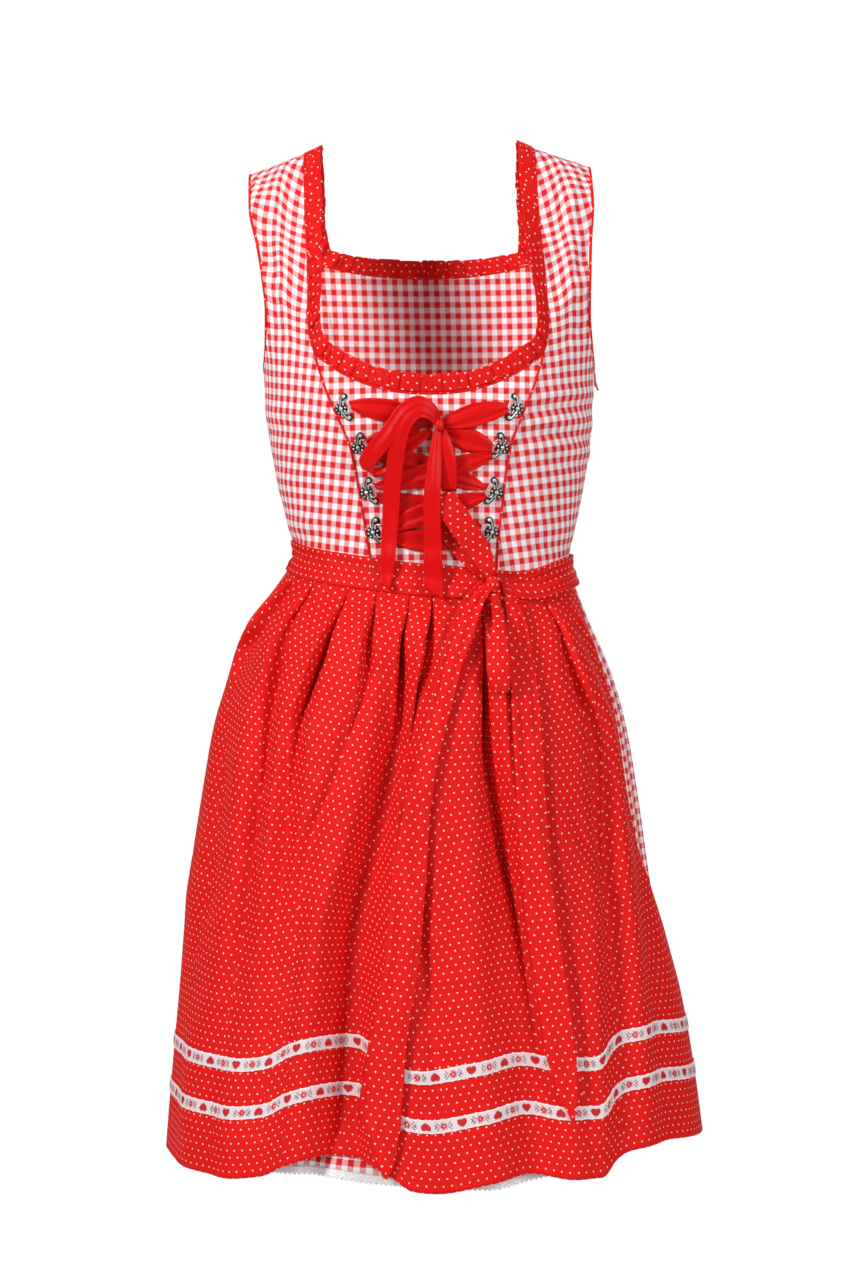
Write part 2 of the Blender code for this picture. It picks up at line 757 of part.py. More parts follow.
def make_skirt():
    edge = 0.15  # degrees, half the seam gap at each side seam
    finish = gingham()
    lace = material("white cotton lace", (0.85, 0.84, 0.82), 0.95)
    for half, start in (("front", -90.0), ("back", 90.0)):
        waves = SKIRT_GATHERS[half]
        share = np.linspace(0, 1, waves * GATHER_STEPS + 1)
        crowd = GATHER_SHIFT * (np.sin(6 * np.pi * share) + 0.6 * np.sin(14 * np.pi * share))
        angles = start + edge + (180 - 2 * edge) * (share + crowd)
        angles = (angles + 180) % 360 - 180
        top, hem = waist(angles) - 2 * WAIST_GAP, skirt_hem(angles)
        rows = []
        for part in SKIRT_ROW_SHARES[::-1]:
            height = top + (hem - top) * part
            wave = gather_wave(share, height, waves, half)
            rows.append(skirt_surface(angles, height, WALL / 2 + wave))
        cloth(f"skirt_{half}", [np.array(rows)], WALL, finish)
        edge_line = rows[0] - (0, 0, SEAM_GAP)
        cloth(f"hem_lace_{half}", [np.array([edge_line - (0, 0, LACE_DROP), edge_line])], WALL, lace)


def apron_valleys(angle, height):
    """How far the apron sinks in between its pleats at each point."""
    sunk = 0
    for row in range(len(APRON_VALLEYS["top_x"])):
        value = {key: column[row] for key, column in APRON_VALLEYS.items()}
        levels = np.array(VALLEY_LEVELS)
        places = np.array([value["top_x"], value["middle_x"], value["hem_x"]])
        depths = np.array([value["top_depth"], value["middle_depth"], value["hem_depth"]])
        spreads = np.array([value["top_spread"], 0.6 * value["hem_spread"], value["hem_spread"]])
        x = through(levels, places, height)
        depth, spread = through(levels, depths, height), through(levels, spreads, height)
        here = skirt_point(angle, height)[..., 0]
        away = (here - x) / spread
        sunk = sunk + depth * np.exp(-(away**2))
    return sunk


def apron_out(angle, height):
    """Distance of the apron's inner face from the skirt's mean surface."""
    side = section(APRON_EDGES, "out_side", height)
    front = section(APRON_EDGES, "out_front", height)
    facing = np.clip(np.cos(np.radians(angle)), 0, 1) ** 1.3
    stand = side + (front - side) * facing - apron_valleys(angle, height)
    least = WALL + 2.2 + section(GATHER_SIZES, "front", height) * 1.25
    above = stand - least
    return least + 0.5 * (above + np.sqrt(above**2 + 3.0))


def apron_hem(angle):
    x = skirt_point(angle, -905.0)[..., 0]
    return through(APRON_HEM["x"], APRON_HEM["height"], x)


def apron_angles(height, share):
    left = section(APRON_EDGES, "left", height)
    right = section(APRON_EDGES, "right", height)
    return right + (left - right) * share


def band_bottom(angle):
    return waist(angle) - BAND_WIDTH / 2


def apron_grid():
    """Inner face of the apron, row by row from the hem up to the waistband."""
    share = np.linspace(0, 1, APRON_COLUMNS + 1)
    hem = apron_hem(apron_angles(-905.0, share))
    top = band_bottom(apron_angles(-405.0, share)) - SEAM_GAP
    heights = [hem, hem + TRIM_ZONE[1], hem + TRIM_ZONE[0]]
    for part in APRON_ROW_SHARES:
        heights.append(heights[2] + (top - heights[2]) * part)
    rows = []
    for height in heights:
        angle = apron_angles(height, share)
        rows.append(skirt_surface(angle, height, apron_out(angle, height)))
    return np.array(rows)


def make_apron():
    inner = apron_grid()
    cloth("apron_panel", [inner], APRON_WALL, dotted_cotton())
    outer = inner + normals(inner) * APRON_WALL  # the points that the wall's outer face passes through
    finish = material("woven ribbon trim", (0.8, 0.72, 0.72), 0.9)
    for name, raised in TRIM_RAISES.items():
        low, high = outer[1], outer[2]
        edges = []
        for above in (raised - TRIM_WIDTH, raised):
            part = (above - TRIM_ZONE[1]) / (TRIM_ZONE[0] - TRIM_ZONE[1])
            edges.append(low + (high - low) * part)
        strip = np.array(edges)
        cloth(name, [strip + normals(np.array([low, high])) * LAY_GAP], TRIM_WALL, finish)
    return outer


def band_point(angle, height, out):
    """Point over the waist seam: on the bodice above it and on the skirt below it."""
    upper = bodice_point(angle, height, out)
    lower = skirt_surface(angle, height, out)
    return np.where((height >= waist(angle))[..., None], upper, lower)


def make_waistband():
    angles = np.linspace(BAND_LEFT, BAND_RIGHT, 25)
    rows = []
    for part in (-0.5, 0.0, 0.5):
        rows.append(band_point(angles, waist(angles) + part * BAND_WIDTH, BAND_OUT))
    cloth("apron_waistband", [np.array(rows)], BAND_WALL, dotted_cotton())


def make_tie_strap():
    """The wearer's right tie, round the back and over the waistband's left end to the knot."""
    angles = np.linspace(STRAP_START, STRAP_END, 37)[::-1]
    turned = (angles + 180) % 360 - 180
    front = np.where((turned > 0) & (turned < BAND_RIGHT + STRAP_RISE), 1, 0)
    climb = np.clip((BAND_RIGHT + STRAP_RISE - turned) / (STRAP_RISE - 4), 0, 1) * front
    out = STRAP_OUT_BACK + (STRAP_OUT - STRAP_OUT_BACK) * climb
    rows = []
    for part in (-0.4, 0.0, 0.42):
        sink = STRAP_DROP * climb * np.clip((BAND_RIGHT - turned) / 40, 0, 1)
        narrow = 1 - 0.45 * climb * np.clip((BAND_RIGHT - turned) / 40, 0, 1)
        rows.append(band_point(turned, waist(turned) - sink + part * BAND_WIDTH * narrow, out))
    cloth("apron_tie_strap", [np.array(rows)], RIBBON_WALL + 0.4, dotted_cotton())


# --- Pieces laid over the front


def front_face(x, height, apron):
    """y of the outermost cloth of the dress front at a place in the front view."""
    x, height = np.broadcast_arrays(np.asarray(x, float), np.asarray(height, float))
    faces = np.zeros(x.shape)
    for place in np.ndindex(x.shape):
        here, z = x[place], height[place]
        angle = float(bodice_angle(here - section(BODICE_SECTIONS, "lean", z), z))
        above = waist(angle) + BAND_WIDTH / 2
        below = waist(angle) - BAND_WIDTH / 2
        rise = np.clip((above + EASE - z) / EASE, 0, 1)
        strap = STRAP_LIFT * np.clip((here - STRAP_LIFT_FROM) / STRAP_LIFT_OVER, 0, 1)
        out = WALL + (BAND_OUT + BAND_WALL + strap - WALL) * rise * rise * (3 - 2 * rise)
        found = []
        if z > below - 4:
            found.append(float(band_point(np.array(angle), np.array(z), out)[1]))
        if z < below + 8:
            found.append(apron_face(here, min(z, below - 1), apron))
        faces[place] = min(found)
    return faces


def apron_face(x, height, apron):
    """Foremost y of the apron within a strip's reach of a place."""
    xs, ys = [], []
    for column in range(apron.shape[1]):
        line = apron[:, column]
        if line[len(line) // 2, 1] > 0:
            continue
        xs.append(np.interp(height, line[:, 2], line[:, 0]))
        ys.append(np.interp(height, line[:, 2], line[:, 1]))
    order = np.argsort(xs)
    reach = np.linspace(-9, 9, 7)
    return float(np.interp(x + reach, np.array(xs)[order], np.array(ys)[order]).min())


def laid_strip(name, path, wall, finish, apron, steps, across=3, flat=False):
    """A ribbon whose middle line, lift and width are given in the front view."""
    keys = np.arange(len(path["x"]), dtype=float)
    at = np.linspace(0, keys[-1], steps)
    x, z, lift, half, tilt = (through(keys, path[key], at) for key in path)
    turn = np.radians(tilt)
    share = np.linspace(-1, 1, across)
    xs = x[:, None] + np.cos(turn)[:, None] * half[:, None] * share
    zs = z[:, None] + np.sin(turn)[:, None] * half[:, None] * share
    base = front_face(x, z, apron)[:, None] if flat else front_face(xs, zs, apron)
    ys = np.broadcast_to(base - lift[:, None], xs.shape)
    return cloth(name, [np.stack([xs, ys, zs], -1)], wall, finish)


def make_hooks():
    outline = []
    for turn in np.linspace(0, 2 * np.pi, 16, endpoint=False):
        stretch = 1 + 0.16 * np.cos(4 * turn) + 0.1 * np.cos(6 * turn)
        side = HOOK_WIDTH / 2 * np.cos(turn) * stretch
        outline.append((side, HOOK_LENGTH / 2 * np.sin(turn) * (1 + 0.08 * np.cos(8 * turn))))
    outline = np.array(outline)
    shape = bmesh.new()
    rings = []
    for height, size in HOOK_PROFILE:
        places = [(x * size * MM, y * size * MM, height * MM) for x, y in outline]
        rings.append([shape.verts.new(place) for place in places])
    for low, high in zip(rings, rings[1:]):
        for i in range(len(low)):
            j = (i + 1) % len(low)
            shape.faces.new((low[i], low[j], high[j], high[i]))
    shape.faces.new(rings[0][::-1])
    shape.faces.new(rings[-1])
    mesh = bpy.data.meshes.new("hook")
    shape.to_mesh(mesh)
    shape.free()
    silver = material("antique silver", (0.35, 0.34, 0.33), 0.35, 1.0)
    for side, sign in (("left", 1), ("right", -1)):
        rows = zip(HOOKS["x"], HOOKS["height"], HOOKS["stand"])
        for row, (away, height, stand) in enumerate(rows, 1):
            spot = np.array([[sign * float(bodice_angle(away, height)), height]])
            out = surface_out(spot)[0]
            place = on_bodice(spot)[0] + out * (WALL + stand)
            lean = np.radians(HOOK_LEAN) * sign
            up = np.array([np.sin(lean), 0, np.cos(lean)])
            up = unit(up - out * np.dot(up, out))
            hook = add_object(f"hook_{side}_{row}", mesh, silver)
            frame = np.eye(4)
            frame[:3, 0], frame[:3, 1], frame[:3, 2] = np.cross(up, out), up, out
            frame[:3, 3] = place * MM
            hook.matrix_world = Matrix(frame.tolist())


def knot(name, centre, size, lift, finish, apron):
    """A soft knot: a rounded block that stands off the cloth by half its depth and the given lift."""
    bpy.ops.mesh.primitive_cube_add(size=1)
    item = bpy.context.object
    item.name = item.data.name = name
    for holder in list(item.users_collection):
        holder.objects.unlink(item)
    DRESS.objects.link(item)
    x, z = centre
    item.data.materials.append(finish)
    item.location = (x * MM, (float(front_face(x, z, apron)) - lift - size[1] / 2) * MM, z * MM)
    for corner in item.data.vertices:
        for axis in range(3):
            corner.co[axis] *= size[axis] * MM * KNOT_FULLNESS
    smooth = item.modifiers.new("round", "SUBSURF")
    smooth.levels = smooth.render_levels = 2
    item.data.shade_smooth()


def make_lacing(apron):
    satin = red_satin()
    for name, (*places, lift) in LACINGS.items():
        (x0, z0), (x1, z1), (x2, z2) = places
        tilt = np.degrees(np.arctan2(z2 - z0, x2 - x0)) + 270
        ends = [LACE_END, LACE_HALF, LACE_END if abs(x2) > 30 else LACE_HALF * 0.6]
        path = columns(
            "x height lift half tilt",
            (x0, z0, lift, ends[0], tilt),
            ((2 * x0 + x1) / 3, (2 * z0 + z1) / 3, lift, LACE_HALF * 0.75, tilt),
            (x1, z1, lift, ends[1], tilt),
            ((x1 + 2 * x2) / 3, (z1 + 2 * z2) / 3, lift, LACE_HALF * 0.75, tilt),
            (x2, z2, lift, ends[2], tilt),
        )
        laid_strip(name, path, RIBBON_WALL, satin, apron, 6)
    knot("bow_knot", BOW_KNOT, (11, 9, 14), 3.4, satin, apron)
    laid_strip("bow_loop_right", BOW_LOOP_RIGHT, RIBBON_WALL, satin, apron, 19, flat=True)
    laid_strip("bow_loop_left", BOW_LOOP_LEFT, RIBBON_WALL, satin, apron, 15, flat=True)
    laid_strip("bow_tail_right", BOW_TAIL_RIGHT, RIBBON_WALL, satin, apron, 12)
    laid_strip("bow_tail_centre", BOW_TAIL_CENTRE, RIBBON_WALL, satin, apron, 13)


def make_apron_bow(apron):
    finish = dotted_cotton()
    knot("tie_knot", TIE_KNOT, (15, 10, 18), 1.0, finish, apron)
    wall = RIBBON_WALL + 0.4
    laid_strip("tie_loop_up", TIE_LOOP_UP, wall, finish, apron, 17, flat=True)
    laid_strip("tie_loop_down", TIE_LOOP_DOWN, wall, finish, apron, 17, flat=True)
    laid_strip("tie_tail_long", TIE_TAIL_LONG, wall, finish, apron, 24)
    laid_strip("tie_tail_side", TIE_TAIL_SIDE, wall, finish, apron, 18)


def make_side_cord():
    """The short cord at the bottom of the left armhole, bent over with its two ends hanging free."""
    x = section(BODICE_SECTIONS, "half_width", SIDE_CORD_TOP) + WALL + SEAM_GAP + SIDE_CORD_RADIUS
    points = [(x + away, y, SIDE_CORD_TOP - drop) for away, y, drop in SIDE_CORD]
    finish = piping_cotton()
    cord("side_opening_cord", np.array(points, float), SIDE_CORD_RADIUS, finish, round_steps=1)


# --- Run


for leftover in list(bpy.data.objects):
    bpy.data.objects.remove(leftover)
DRESS = bpy.data.collections.new("dirndl dress")
bpy.context.scene.collection.children.link(DRESS)
make_bodice()
make_piping()
make_frill()
make_skirt()
apron_outer = make_apron()
make_waistband()
make_tie_strap()
make_hooks()
make_lacing(apron_outer)
make_apron_bow(apron_outer)
make_side_cord()
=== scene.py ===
# A dirndl dress: the finish of each piece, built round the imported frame.
# Surfaces are worked out in millimetres, +X to the wearer's left and the front towards -Y.
import math

import bmesh
import bpy
import numpy as np
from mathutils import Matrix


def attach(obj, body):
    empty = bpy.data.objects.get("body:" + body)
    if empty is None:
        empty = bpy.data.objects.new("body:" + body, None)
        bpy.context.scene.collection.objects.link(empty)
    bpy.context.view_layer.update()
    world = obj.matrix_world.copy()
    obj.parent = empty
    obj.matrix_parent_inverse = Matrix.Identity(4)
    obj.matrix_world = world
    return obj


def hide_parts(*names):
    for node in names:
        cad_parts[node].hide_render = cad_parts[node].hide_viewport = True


mm = 0.001
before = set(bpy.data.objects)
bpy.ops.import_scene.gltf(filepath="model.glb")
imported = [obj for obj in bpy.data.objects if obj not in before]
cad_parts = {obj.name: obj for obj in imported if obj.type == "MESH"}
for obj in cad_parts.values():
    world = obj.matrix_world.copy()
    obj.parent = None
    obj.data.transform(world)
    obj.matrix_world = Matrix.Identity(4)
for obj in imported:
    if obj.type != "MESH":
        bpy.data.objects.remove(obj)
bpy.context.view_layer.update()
dice = np.random.default_rng(7)


def table(names, *rows):
    # one array for each named column
    return dict(zip(names.split(), np.array(rows, float).T))


def through(keys, values, at):
    # cubic through the table's rows that never overshoots a row; flat outside them
    order = np.argsort(keys)
    keys, values, at = keys[order], values[order], np.asarray(at, float)
    steps = np.diff(keys)
    slopes = np.diff(values) / steps
    product = slopes[:-1] * slopes[1:]
    total = np.where(product > 0, slopes[:-1] + slopes[1:], 1)
    bends = np.concatenate([[slopes[0]], np.where(product > 0, 2 * product / total, 0), [slopes[-1]]])
    row = np.clip(np.searchsorted(keys, at) - 1, 0, len(steps) - 1)
    share = np.clip((at - keys[row]) / steps[row], 0, 1)
    low, high = values[row], values[row + 1]
    cubic = share * share * (3 - 2 * share)
    lean = share * (1 - share) ** 2 * bends[row] - share**2 * (1 - share) * bends[row + 1]
    return low + (high - low) * cubic + lean * steps[row]


def runAcross(grid):
    # length along each row of a grid, up to each of its points
    across = np.linalg.norm(np.diff(grid, axis=1), axis=-1)
    return np.concatenate([np.zeros((len(grid), 1)), np.cumsum(across, 1)], 1)


def runUp(grid):
    # length up each column of a grid, up to each of its points
    return runAcross(grid.swapaxes(0, 1)).T


def runLength(points):
    # length along a line of points, up to each of them
    return runAcross(points[None])[0]


def readLine(points, length, at):
    # places at given lengths along a line, straight between its own points
    return np.stack([np.interp(at, length, points[:, axis]) for axis in range(3)], -1)


def readGrid(values, row, column):
    # values at a broken row and column, in proportion from the four round it
    i, j = row.astype(int), column.astype(int)
    a, b = row - i, column - j
    low = values[i, j] * (1 - b) + values[i, j + 1] * b
    high = values[i + 1, j] * (1 - b) + values[i + 1, j + 1] * b
    return low * (1 - a) + high * a


def rise(value, low, high):
    # 0 below low, 1 above high, smooth between
    share = np.clip((value - low) / (high - low), 0, 1)
    return share * share * (3 - 2 * share)


def unit(vectors):
    # each vector divided by its own length
    return vectors / np.maximum(np.linalg.norm(vectors, axis=-1, keepdims=True), 1e-9)


def outward(grid):
    # normal at each point of a grid whose rows run up and whose columns run to the wearer's left
    return unit(np.cross(np.gradient(grid, axis=1), np.gradient(grid, axis=0)))


def power(value, exponent):
    # a power that keeps the sign
    return np.sign(value) * np.abs(value) ** exponent


# the worn form: exponent of its sections, neck, shoulders, bust and waist, in mm
form = {
    "roundness": 2.3,
    "neckHalf": 107.0,
    "neckFront": -222.0,
    "neckBack": -96.0,
    "shoulderHeight": 14.0,
    "shoulderSlope": 0.37,
    "shoulderTilt": 0.022,
    "shoulderRound": 60.0,
    "bustOut": 9.0,
    "bustX": 74.0,
    "bustHeight": -236.0,
    "bustSpread": 44.0,
    "waistLevel": -375.0,
    "bandWidth": 29.0,
    "wall": 1.2,
    "waistSpread": 120.0,
}
# each section of the bodice: half its width, its depths, how far its middle and its sides are shifted
bodiceSections = table(
    "height half front back middle lean",
    (-420, 123, 93, 94, 0, 4),
    (-375, 124, 94, 94, 0, 4),
    (-340, 131, 96, 96, 0, 3),
    (-302, 140, 101, 100, 0, 2),
    (-262, 147, 107, 104, 0, 1),
    (-220, 151, 110, 107, 0, 0),
    (-190, 152, 108, 106, 0, 0),
    (-145, 161, 96, 98, 2, -1),
    (-100, 173, 80, 88, 6, -3),
    (-60, 184, 67, 76, 11, -6),
    (30, 198, 52, 56, 18, -10),
)
skirtSections = table(
    "height half front back lean",
    (-960, 245, 178, 210, 7),
    (-906, 241, 175, 206, 5),
    (-823, 232, 168, 197, 3),
    (-767, 224, 163, 190, 1),
    (-711, 214, 158, 184, -4),
    (-670, 207, 154, 178, -8),
    (-602, 197, 146, 168, -7),
    (-528, 185, 136, 155, -6),
    (-480, 172, 126, 142, -5),
    (-435, 154, 113, 124, -5),
    (-404, 137, 102, 107, 0),
    (-375, 124, 94, 94, 4),
)
waistLine = table(
    "angle height",
    (-180, -366),
    (-90, -363),
    (-60, -371),
    (-35, -378),
    (0, -388),
    (35, -394),
    (60, -384),
    (90, -375),
    (180, -366),
)


def section(sections, name, height):
    # one measure of the sections at a height
    return through(sections["height"], sections[name], height)


def waist(angle):
    # height of the waist seam, which dips at the front
    return through(waistLine["angle"], waistLine["height"], angle)


def turned(angle):
    # the same direction between -180 and 180 degrees
    return (angle + 180) % 360 - 180


def shoulderLine(x):
    # height of the shoulder seam: it falls away from the neck, and one side stands a little higher
    fall = form["shoulderSlope"] * (np.abs(x) - form["neckHalf"])
    return form["shoulderHeight"] - fall + form["shoulderTilt"] * x


def bodicePoint(angle, height, out=0.0):
    # super-ellipse section at each height, rounded over at the shoulder and fuller at the bust
    angle, height = np.radians(angle), np.asarray(height, float)
    sine, cosine = np.sin(angle), np.cos(angle)
    names = ("half", "front", "back", "middle", "lean")
    half, front, back, middle, lean = (section(bodiceSections, name, height) for name in names)
    x = half * power(sine, 2 / form["roundness"])
    drop = np.clip((shoulderLine(x) - height) / form["shoulderRound"], 0, 1)
    depth = np.where(cosine > 0, front, back) * np.sqrt(1 - (1 - drop) ** 2)
    aside, above = np.abs(x) - form["bustX"], height - form["bustHeight"]
    bust = form["bustOut"] * np.exp(-((aside / form["bustSpread"]) ** 2) - (above / form["bustSpread"]) ** 2)
    y = -depth * power(cosine, 2 / form["roundness"]) - np.where(cosine > 0, bust, 0)
    return np.stack([x + lean + out * sine, y + middle - out * cosine, height + 0 * x], -1)


def skirtPoint(angle, height, out=0.0):
    # super-ellipse section at each height
    angle, height = np.radians(angle), np.asarray(height, float)
    sine, cosine = np.sin(angle), np.cos(angle)
    names = ("half", "front", "back", "lean")
    half, front, back, lean = (section(skirtSections, name, height) for name in names)
    x = half * power(sine, 2 / form["roundness"]) + lean
    y = -np.where(cosine > 0, front, back) * power(cosine, 2 / form["roundness"])
    return np.stack([x + out * sine, y - out * cosine, height + 0 * x], -1)


def skirtSurface(angle, height, out=0.0):
    # the skirt's sections, moved up or down to the tilted waistline, less and less towards the hem
    below = waist(angle) - height
    shift = (form["waistLevel"] - waist(angle)) * np.exp(-below / form["waistSpread"])
    point = skirtPoint(angle, height + shift, out)
    point[..., 2] = height
    return point


def sectionAngle(sections, x, height, lean=True):
    # angle of the front point at a given x
    away = x - (section(sections, "lean", height) if lean else 0)
    share = np.clip(np.abs(away) / section(sections, "half", height), 0, 1)
    return np.degrees(np.arcsin(share ** (form["roundness"] / 2))) * np.sign(away)


def gridPiece(name, points, finish, uv, wall=1.2, joinsLater=False, colours=None):
    # one quad between each four neighbours of a grid of outer points in mm; the wall goes inwards.
    # uv is u of a quad's left corners, u of its right corners and v, or v of each side, by point
    rows, columns = points.shape[:2]
    index = np.arange(rows * columns).reshape(rows, columns)
    corners = (index[:-1, :-1], index[:-1, 1:], index[1:, 1:], index[1:, :-1])
    quads = np.stack(corners, -1).reshape(-1, 4)
    mesh = bpy.data.meshes.new(name)
    mesh.vertices.add(rows * columns)
    mesh.vertices.foreach_set("co", (points * mm).reshape(-1).astype(np.float32))
    mesh.loops.add(quads.size)
    mesh.loops.foreach_set("vertex_index", quads.reshape(-1).astype(np.int32))
    mesh.polygons.add(len(quads))
    mesh.polygons.foreach_set("loop_start", np.arange(0, quads.size, 4, dtype=np.int32))
    mesh.polygons.foreach_set("use_smooth", np.ones(len(quads), bool))
    mesh.update(calc_edges=True)
    uLeft, uRight, vLeft = uv[:3]
    vRight = uv[-1]
    u = np.stack([uLeft[:-1, :-1], uRight[:-1, 1:], uRight[1:, 1:], uLeft[1:, :-1]], -1)
    v = np.stack([vLeft[:-1, :-1], vRight[:-1, 1:], vRight[1:, 1:], vLeft[1:, :-1]], -1)
    layer = mesh.uv_layers.new(name="clothMm")
    layer.data.foreach_set("uv", np.stack([u, v], -1).reshape(-1).astype(np.float32))
    if colours is not None:
        layer = mesh.color_attributes.new("woven", "FLOAT_COLOR", "CORNER")
        each = np.repeat(colours.reshape(-1, 4), 4, axis=0)
        layer.data.foreach_set("color", each.reshape(-1).astype(np.float32))
    return finishPiece(name, mesh, finish, wall, joinsLater=joinsLater)


def addWall(item, wall, side=-1):
    # thickness of the cloth: inwards from the surface, or outwards with side 1
    solid = item.modifiers.new("wall", "SOLIDIFY")
    solid.thickness, solid.offset = wall * mm, side


def standFor(item, node=None):
    # bodiceFrontLeft takes the place of bodice_front_left
    own = "".join(letter if letter.islower() else "_" + letter.lower() for letter in item.name)
    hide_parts(node or own)


def finishPiece(name, mesh, finish, wall=0.0, node=None, joinsLater=False):
    # the mesh as a piece of the dress, with its material, its wall and the node it stands for
    mesh.validate()
    mesh.materials.append(finishes[finish][0])
    item = bpy.data.objects.new(name, mesh)
    bpy.context.scene.collection.objects.link(item)
    if wall:
        addWall(item, wall)
    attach(item, "root")
    if not joinsLater:
        standFor(item, node)
    return item


def flatCut(points):
    # width, length and area in metres of a cloth surface laid flat
    across, down = runAcross(points)[:, -1], runUp(points)[-1]
    sides = np.cross(points[1:, 1:] - points[:-1, :-1], points[1:, :-1] - points[:-1, 1:])
    area = np.linalg.norm(sides, axis=-1).sum() / 2
    return across.max() * mm, down.max() * mm, area * mm * mm


def cutSheet(item, grids, parts=()):
    # width, length and area of each surface laid flat, worked out and not kept
    cuts = np.array([flatCut(points) for points in grids])


def lengthUv(points, vStart=0.0):
    # u along the rows from their middle and v up the columns, both in mm of cloth
    u = runAcross(points)
    u = u - u[:, -1:] / 2
    return u, u, runUp(points) + vStart


def tubePoints(path, radius, sides, closed=False):
    # rings round a path, whose radius may change along it; their start is carried along without twisting
    along = unit(np.roll(path, -1, 0) - np.roll(path, 1, 0) if closed else np.gradient(path, axis=0))
    first = np.cross(along[0], (0.0, 0.0, 1.0))
    if np.linalg.norm(first) < 0.1:
        first = np.cross(along[0], (0.0, 1.0, 0.0))
    sideways = [first / np.linalg.norm(first)]
    for step in along[1:]:
        moved = sideways[-1] - step * np.dot(step, sideways[-1])
        sideways.append(moved / np.linalg.norm(moved))
    sideways = np.array(sideways)
    second = np.cross(along, sideways)
    turn = np.linspace(0, 2 * np.pi, sides, endpoint=False)[:, None]
    size = np.broadcast_to(np.asarray(radius, float), (len(path),))[:, None, None]
    return path[:, None] + (sideways[:, None] * np.cos(turn) + second[:, None] * np.sin(turn)) * size


def joinedMesh(name, shapes):
    # shapes: (vertices in mm, faces as index arrays) put into one mesh
    vertices, faces, start = [], [], 0
    for points, polygons in shapes:
        vertices.append(np.asarray(points, float))
        faces += [[int(i) + start for i in polygon] for polygon in polygons]
        start += len(points)
    mesh = bpy.data.meshes.new(name)
    mesh.from_pydata((np.concatenate(vertices) * mm).tolist(), [], faces)
    mesh.shade_smooth()
    return mesh


def tubeShape(path, radius, sides):
    # a tube closed at both ends
    rings = tubePoints(path, radius, sides)
    index = np.arange(len(rings) * sides).reshape(len(rings), sides)
    low, high = index[:-1], index[1:]
    quads = np.stack([low, np.roll(low, -1, 1), np.roll(high, -1, 1), high], -1).reshape(-1, 4)
    return rings.reshape(-1, 3), [*quads.tolist(), index[0, ::-1].tolist(), index[-1].tolist()]


def domeShape(centre, radius, squash, rings, sides):
    # a closed ball, squashed along its third axis
    turn = np.linspace(0, 2 * np.pi, sides, endpoint=False)
    lift = np.linspace(-np.pi / 2, np.pi / 2, rings + 2)[1:-1, None]
    shell = [np.cos(lift) * np.cos(turn), np.cos(lift) * np.sin(turn), np.sin(lift) * squash + 0 * turn]
    ball = [[(0, 0, -squash)], np.stack(shell, -1).reshape(-1, 3), [(0, 0, squash)]]
    points = np.concatenate(ball) * radius + np.array(centre, float)
    index = np.arange(rings * sides).reshape(rings, sides) + 1
    after, pole = np.roll(index, -1, 1), 0 * index[0]
    quads = np.stack([index[:-1], after[:-1], after[1:], index[1:]], -1).reshape(-1, 4)
    bottom = np.stack([pole, after[0], index[0]], -1)
    top = np.stack([pole + len(points) - 1, index[-1], after[-1]], -1)
    return points, [*quads.tolist(), *bottom.tolist(), *top.tolist()]


def linear(code):
    # sRGB hex to linear colour
    values = [int(code[i : i + 2], 16) / 255 for i in (0, 2, 4)]
    return (*[c / 12.92 if c <= 0.04045 else ((c + 0.055) / 1.055) ** 2.4 for c in values], 1.0)


def addNode(tree, kind, settings=None, inputs=None):
    # a node with its settings; an input is a value, or a socket to link from
    node = tree.nodes.new(kind)
    for key, value in (settings or {}).items():
        setattr(node, key, value)
    for key, value in (inputs or {}).items():
        socket = node.inputs[key]
        if isinstance(value, bpy.types.NodeSocket):
            tree.links.new(value, socket)
        else:
            socket.default_value = value
    return node


def mathNode(tree, operation, a, b=0.0, c=0.0):
    # one step of arithmetic in a material
    return addNode(tree, "ShaderNodeMath", {"operation": operation}, {0: a, 1: b, 2: c}).outputs[0]


def noise(tree, place, scale, detail):
    # cloudy values from 0 to 1; scale in repeats per unit of the place
    inputs = {"Vector": place, "Scale": scale, "Detail": detail}
    return addNode(tree, "ShaderNodeTexNoise", None, inputs).outputs[0]


def newMaterial(name, roughness, gloss=0.5, metallic=0.0):
    # gloss is the strength of the highlight
    material = bpy.data.materials.new(name)
    material.use_nodes = True
    shader = material.node_tree.nodes["Principled BSDF"]
    shader.inputs["Roughness"].default_value = roughness
    shader.inputs["Specular IOR Level"].default_value = gloss
    shader.inputs["Metallic"].default_value = metallic
    return material, material.node_tree, shader


def clothCoordinates(tree):
    # the cloth's own millimetres
    place = addNode(tree, "ShaderNodeUVMap", {"uv_map": "clothMm"})
    parts = addNode(tree, "ShaderNodeSeparateXYZ", None, {0: place.outputs[0]})
    return place.outputs[0], parts.outputs[0], parts.outputs[1]


def softStep(tree, value, edge, soft):
    # 0 below the edge and 1 above it
    inputs = {"Value": value, "From Min": edge - soft, "From Max": edge + soft}
    return addNode(tree, "ShaderNodeMapRange", {"interpolation_type": "SMOOTHSTEP"}, inputs).outputs[0]


def mixColour(tree, share, a, b):
    # a where the share is 0, b where it is 1
    settings = {"data_type": "RGBA", "blend_type": "MIX"}
    return addNode(tree, "ShaderNodeMix", settings, {0: share, 6: a, 7: b}).outputs[2]


def ribsOf(tree, value, pitch):
    # -1 to 1 and back over each pitch
    return mathNode(tree, "SINE", mathNode(tree, "MULTIPLY", value, 2 * math.pi / pitch))


def weaveHeight(tree, u, v, pitch):
    # plain weave: each thread rises where the other kind sinks
    across, along = (ribsOf(tree, value, pitch) for value in (u, v))
    return mathNode(tree, "MULTIPLY", across, along)


def waveOf(tree, value, period):
    # 0 to 1 and back over each period
    share = mathNode(tree, "FRACT", mathNode(tree, "DIVIDE", value, period))
    return mathNode(tree, "ABSOLUTE", mathNode(tree, "MULTIPLY_ADD", share, 2.0, -1.0))


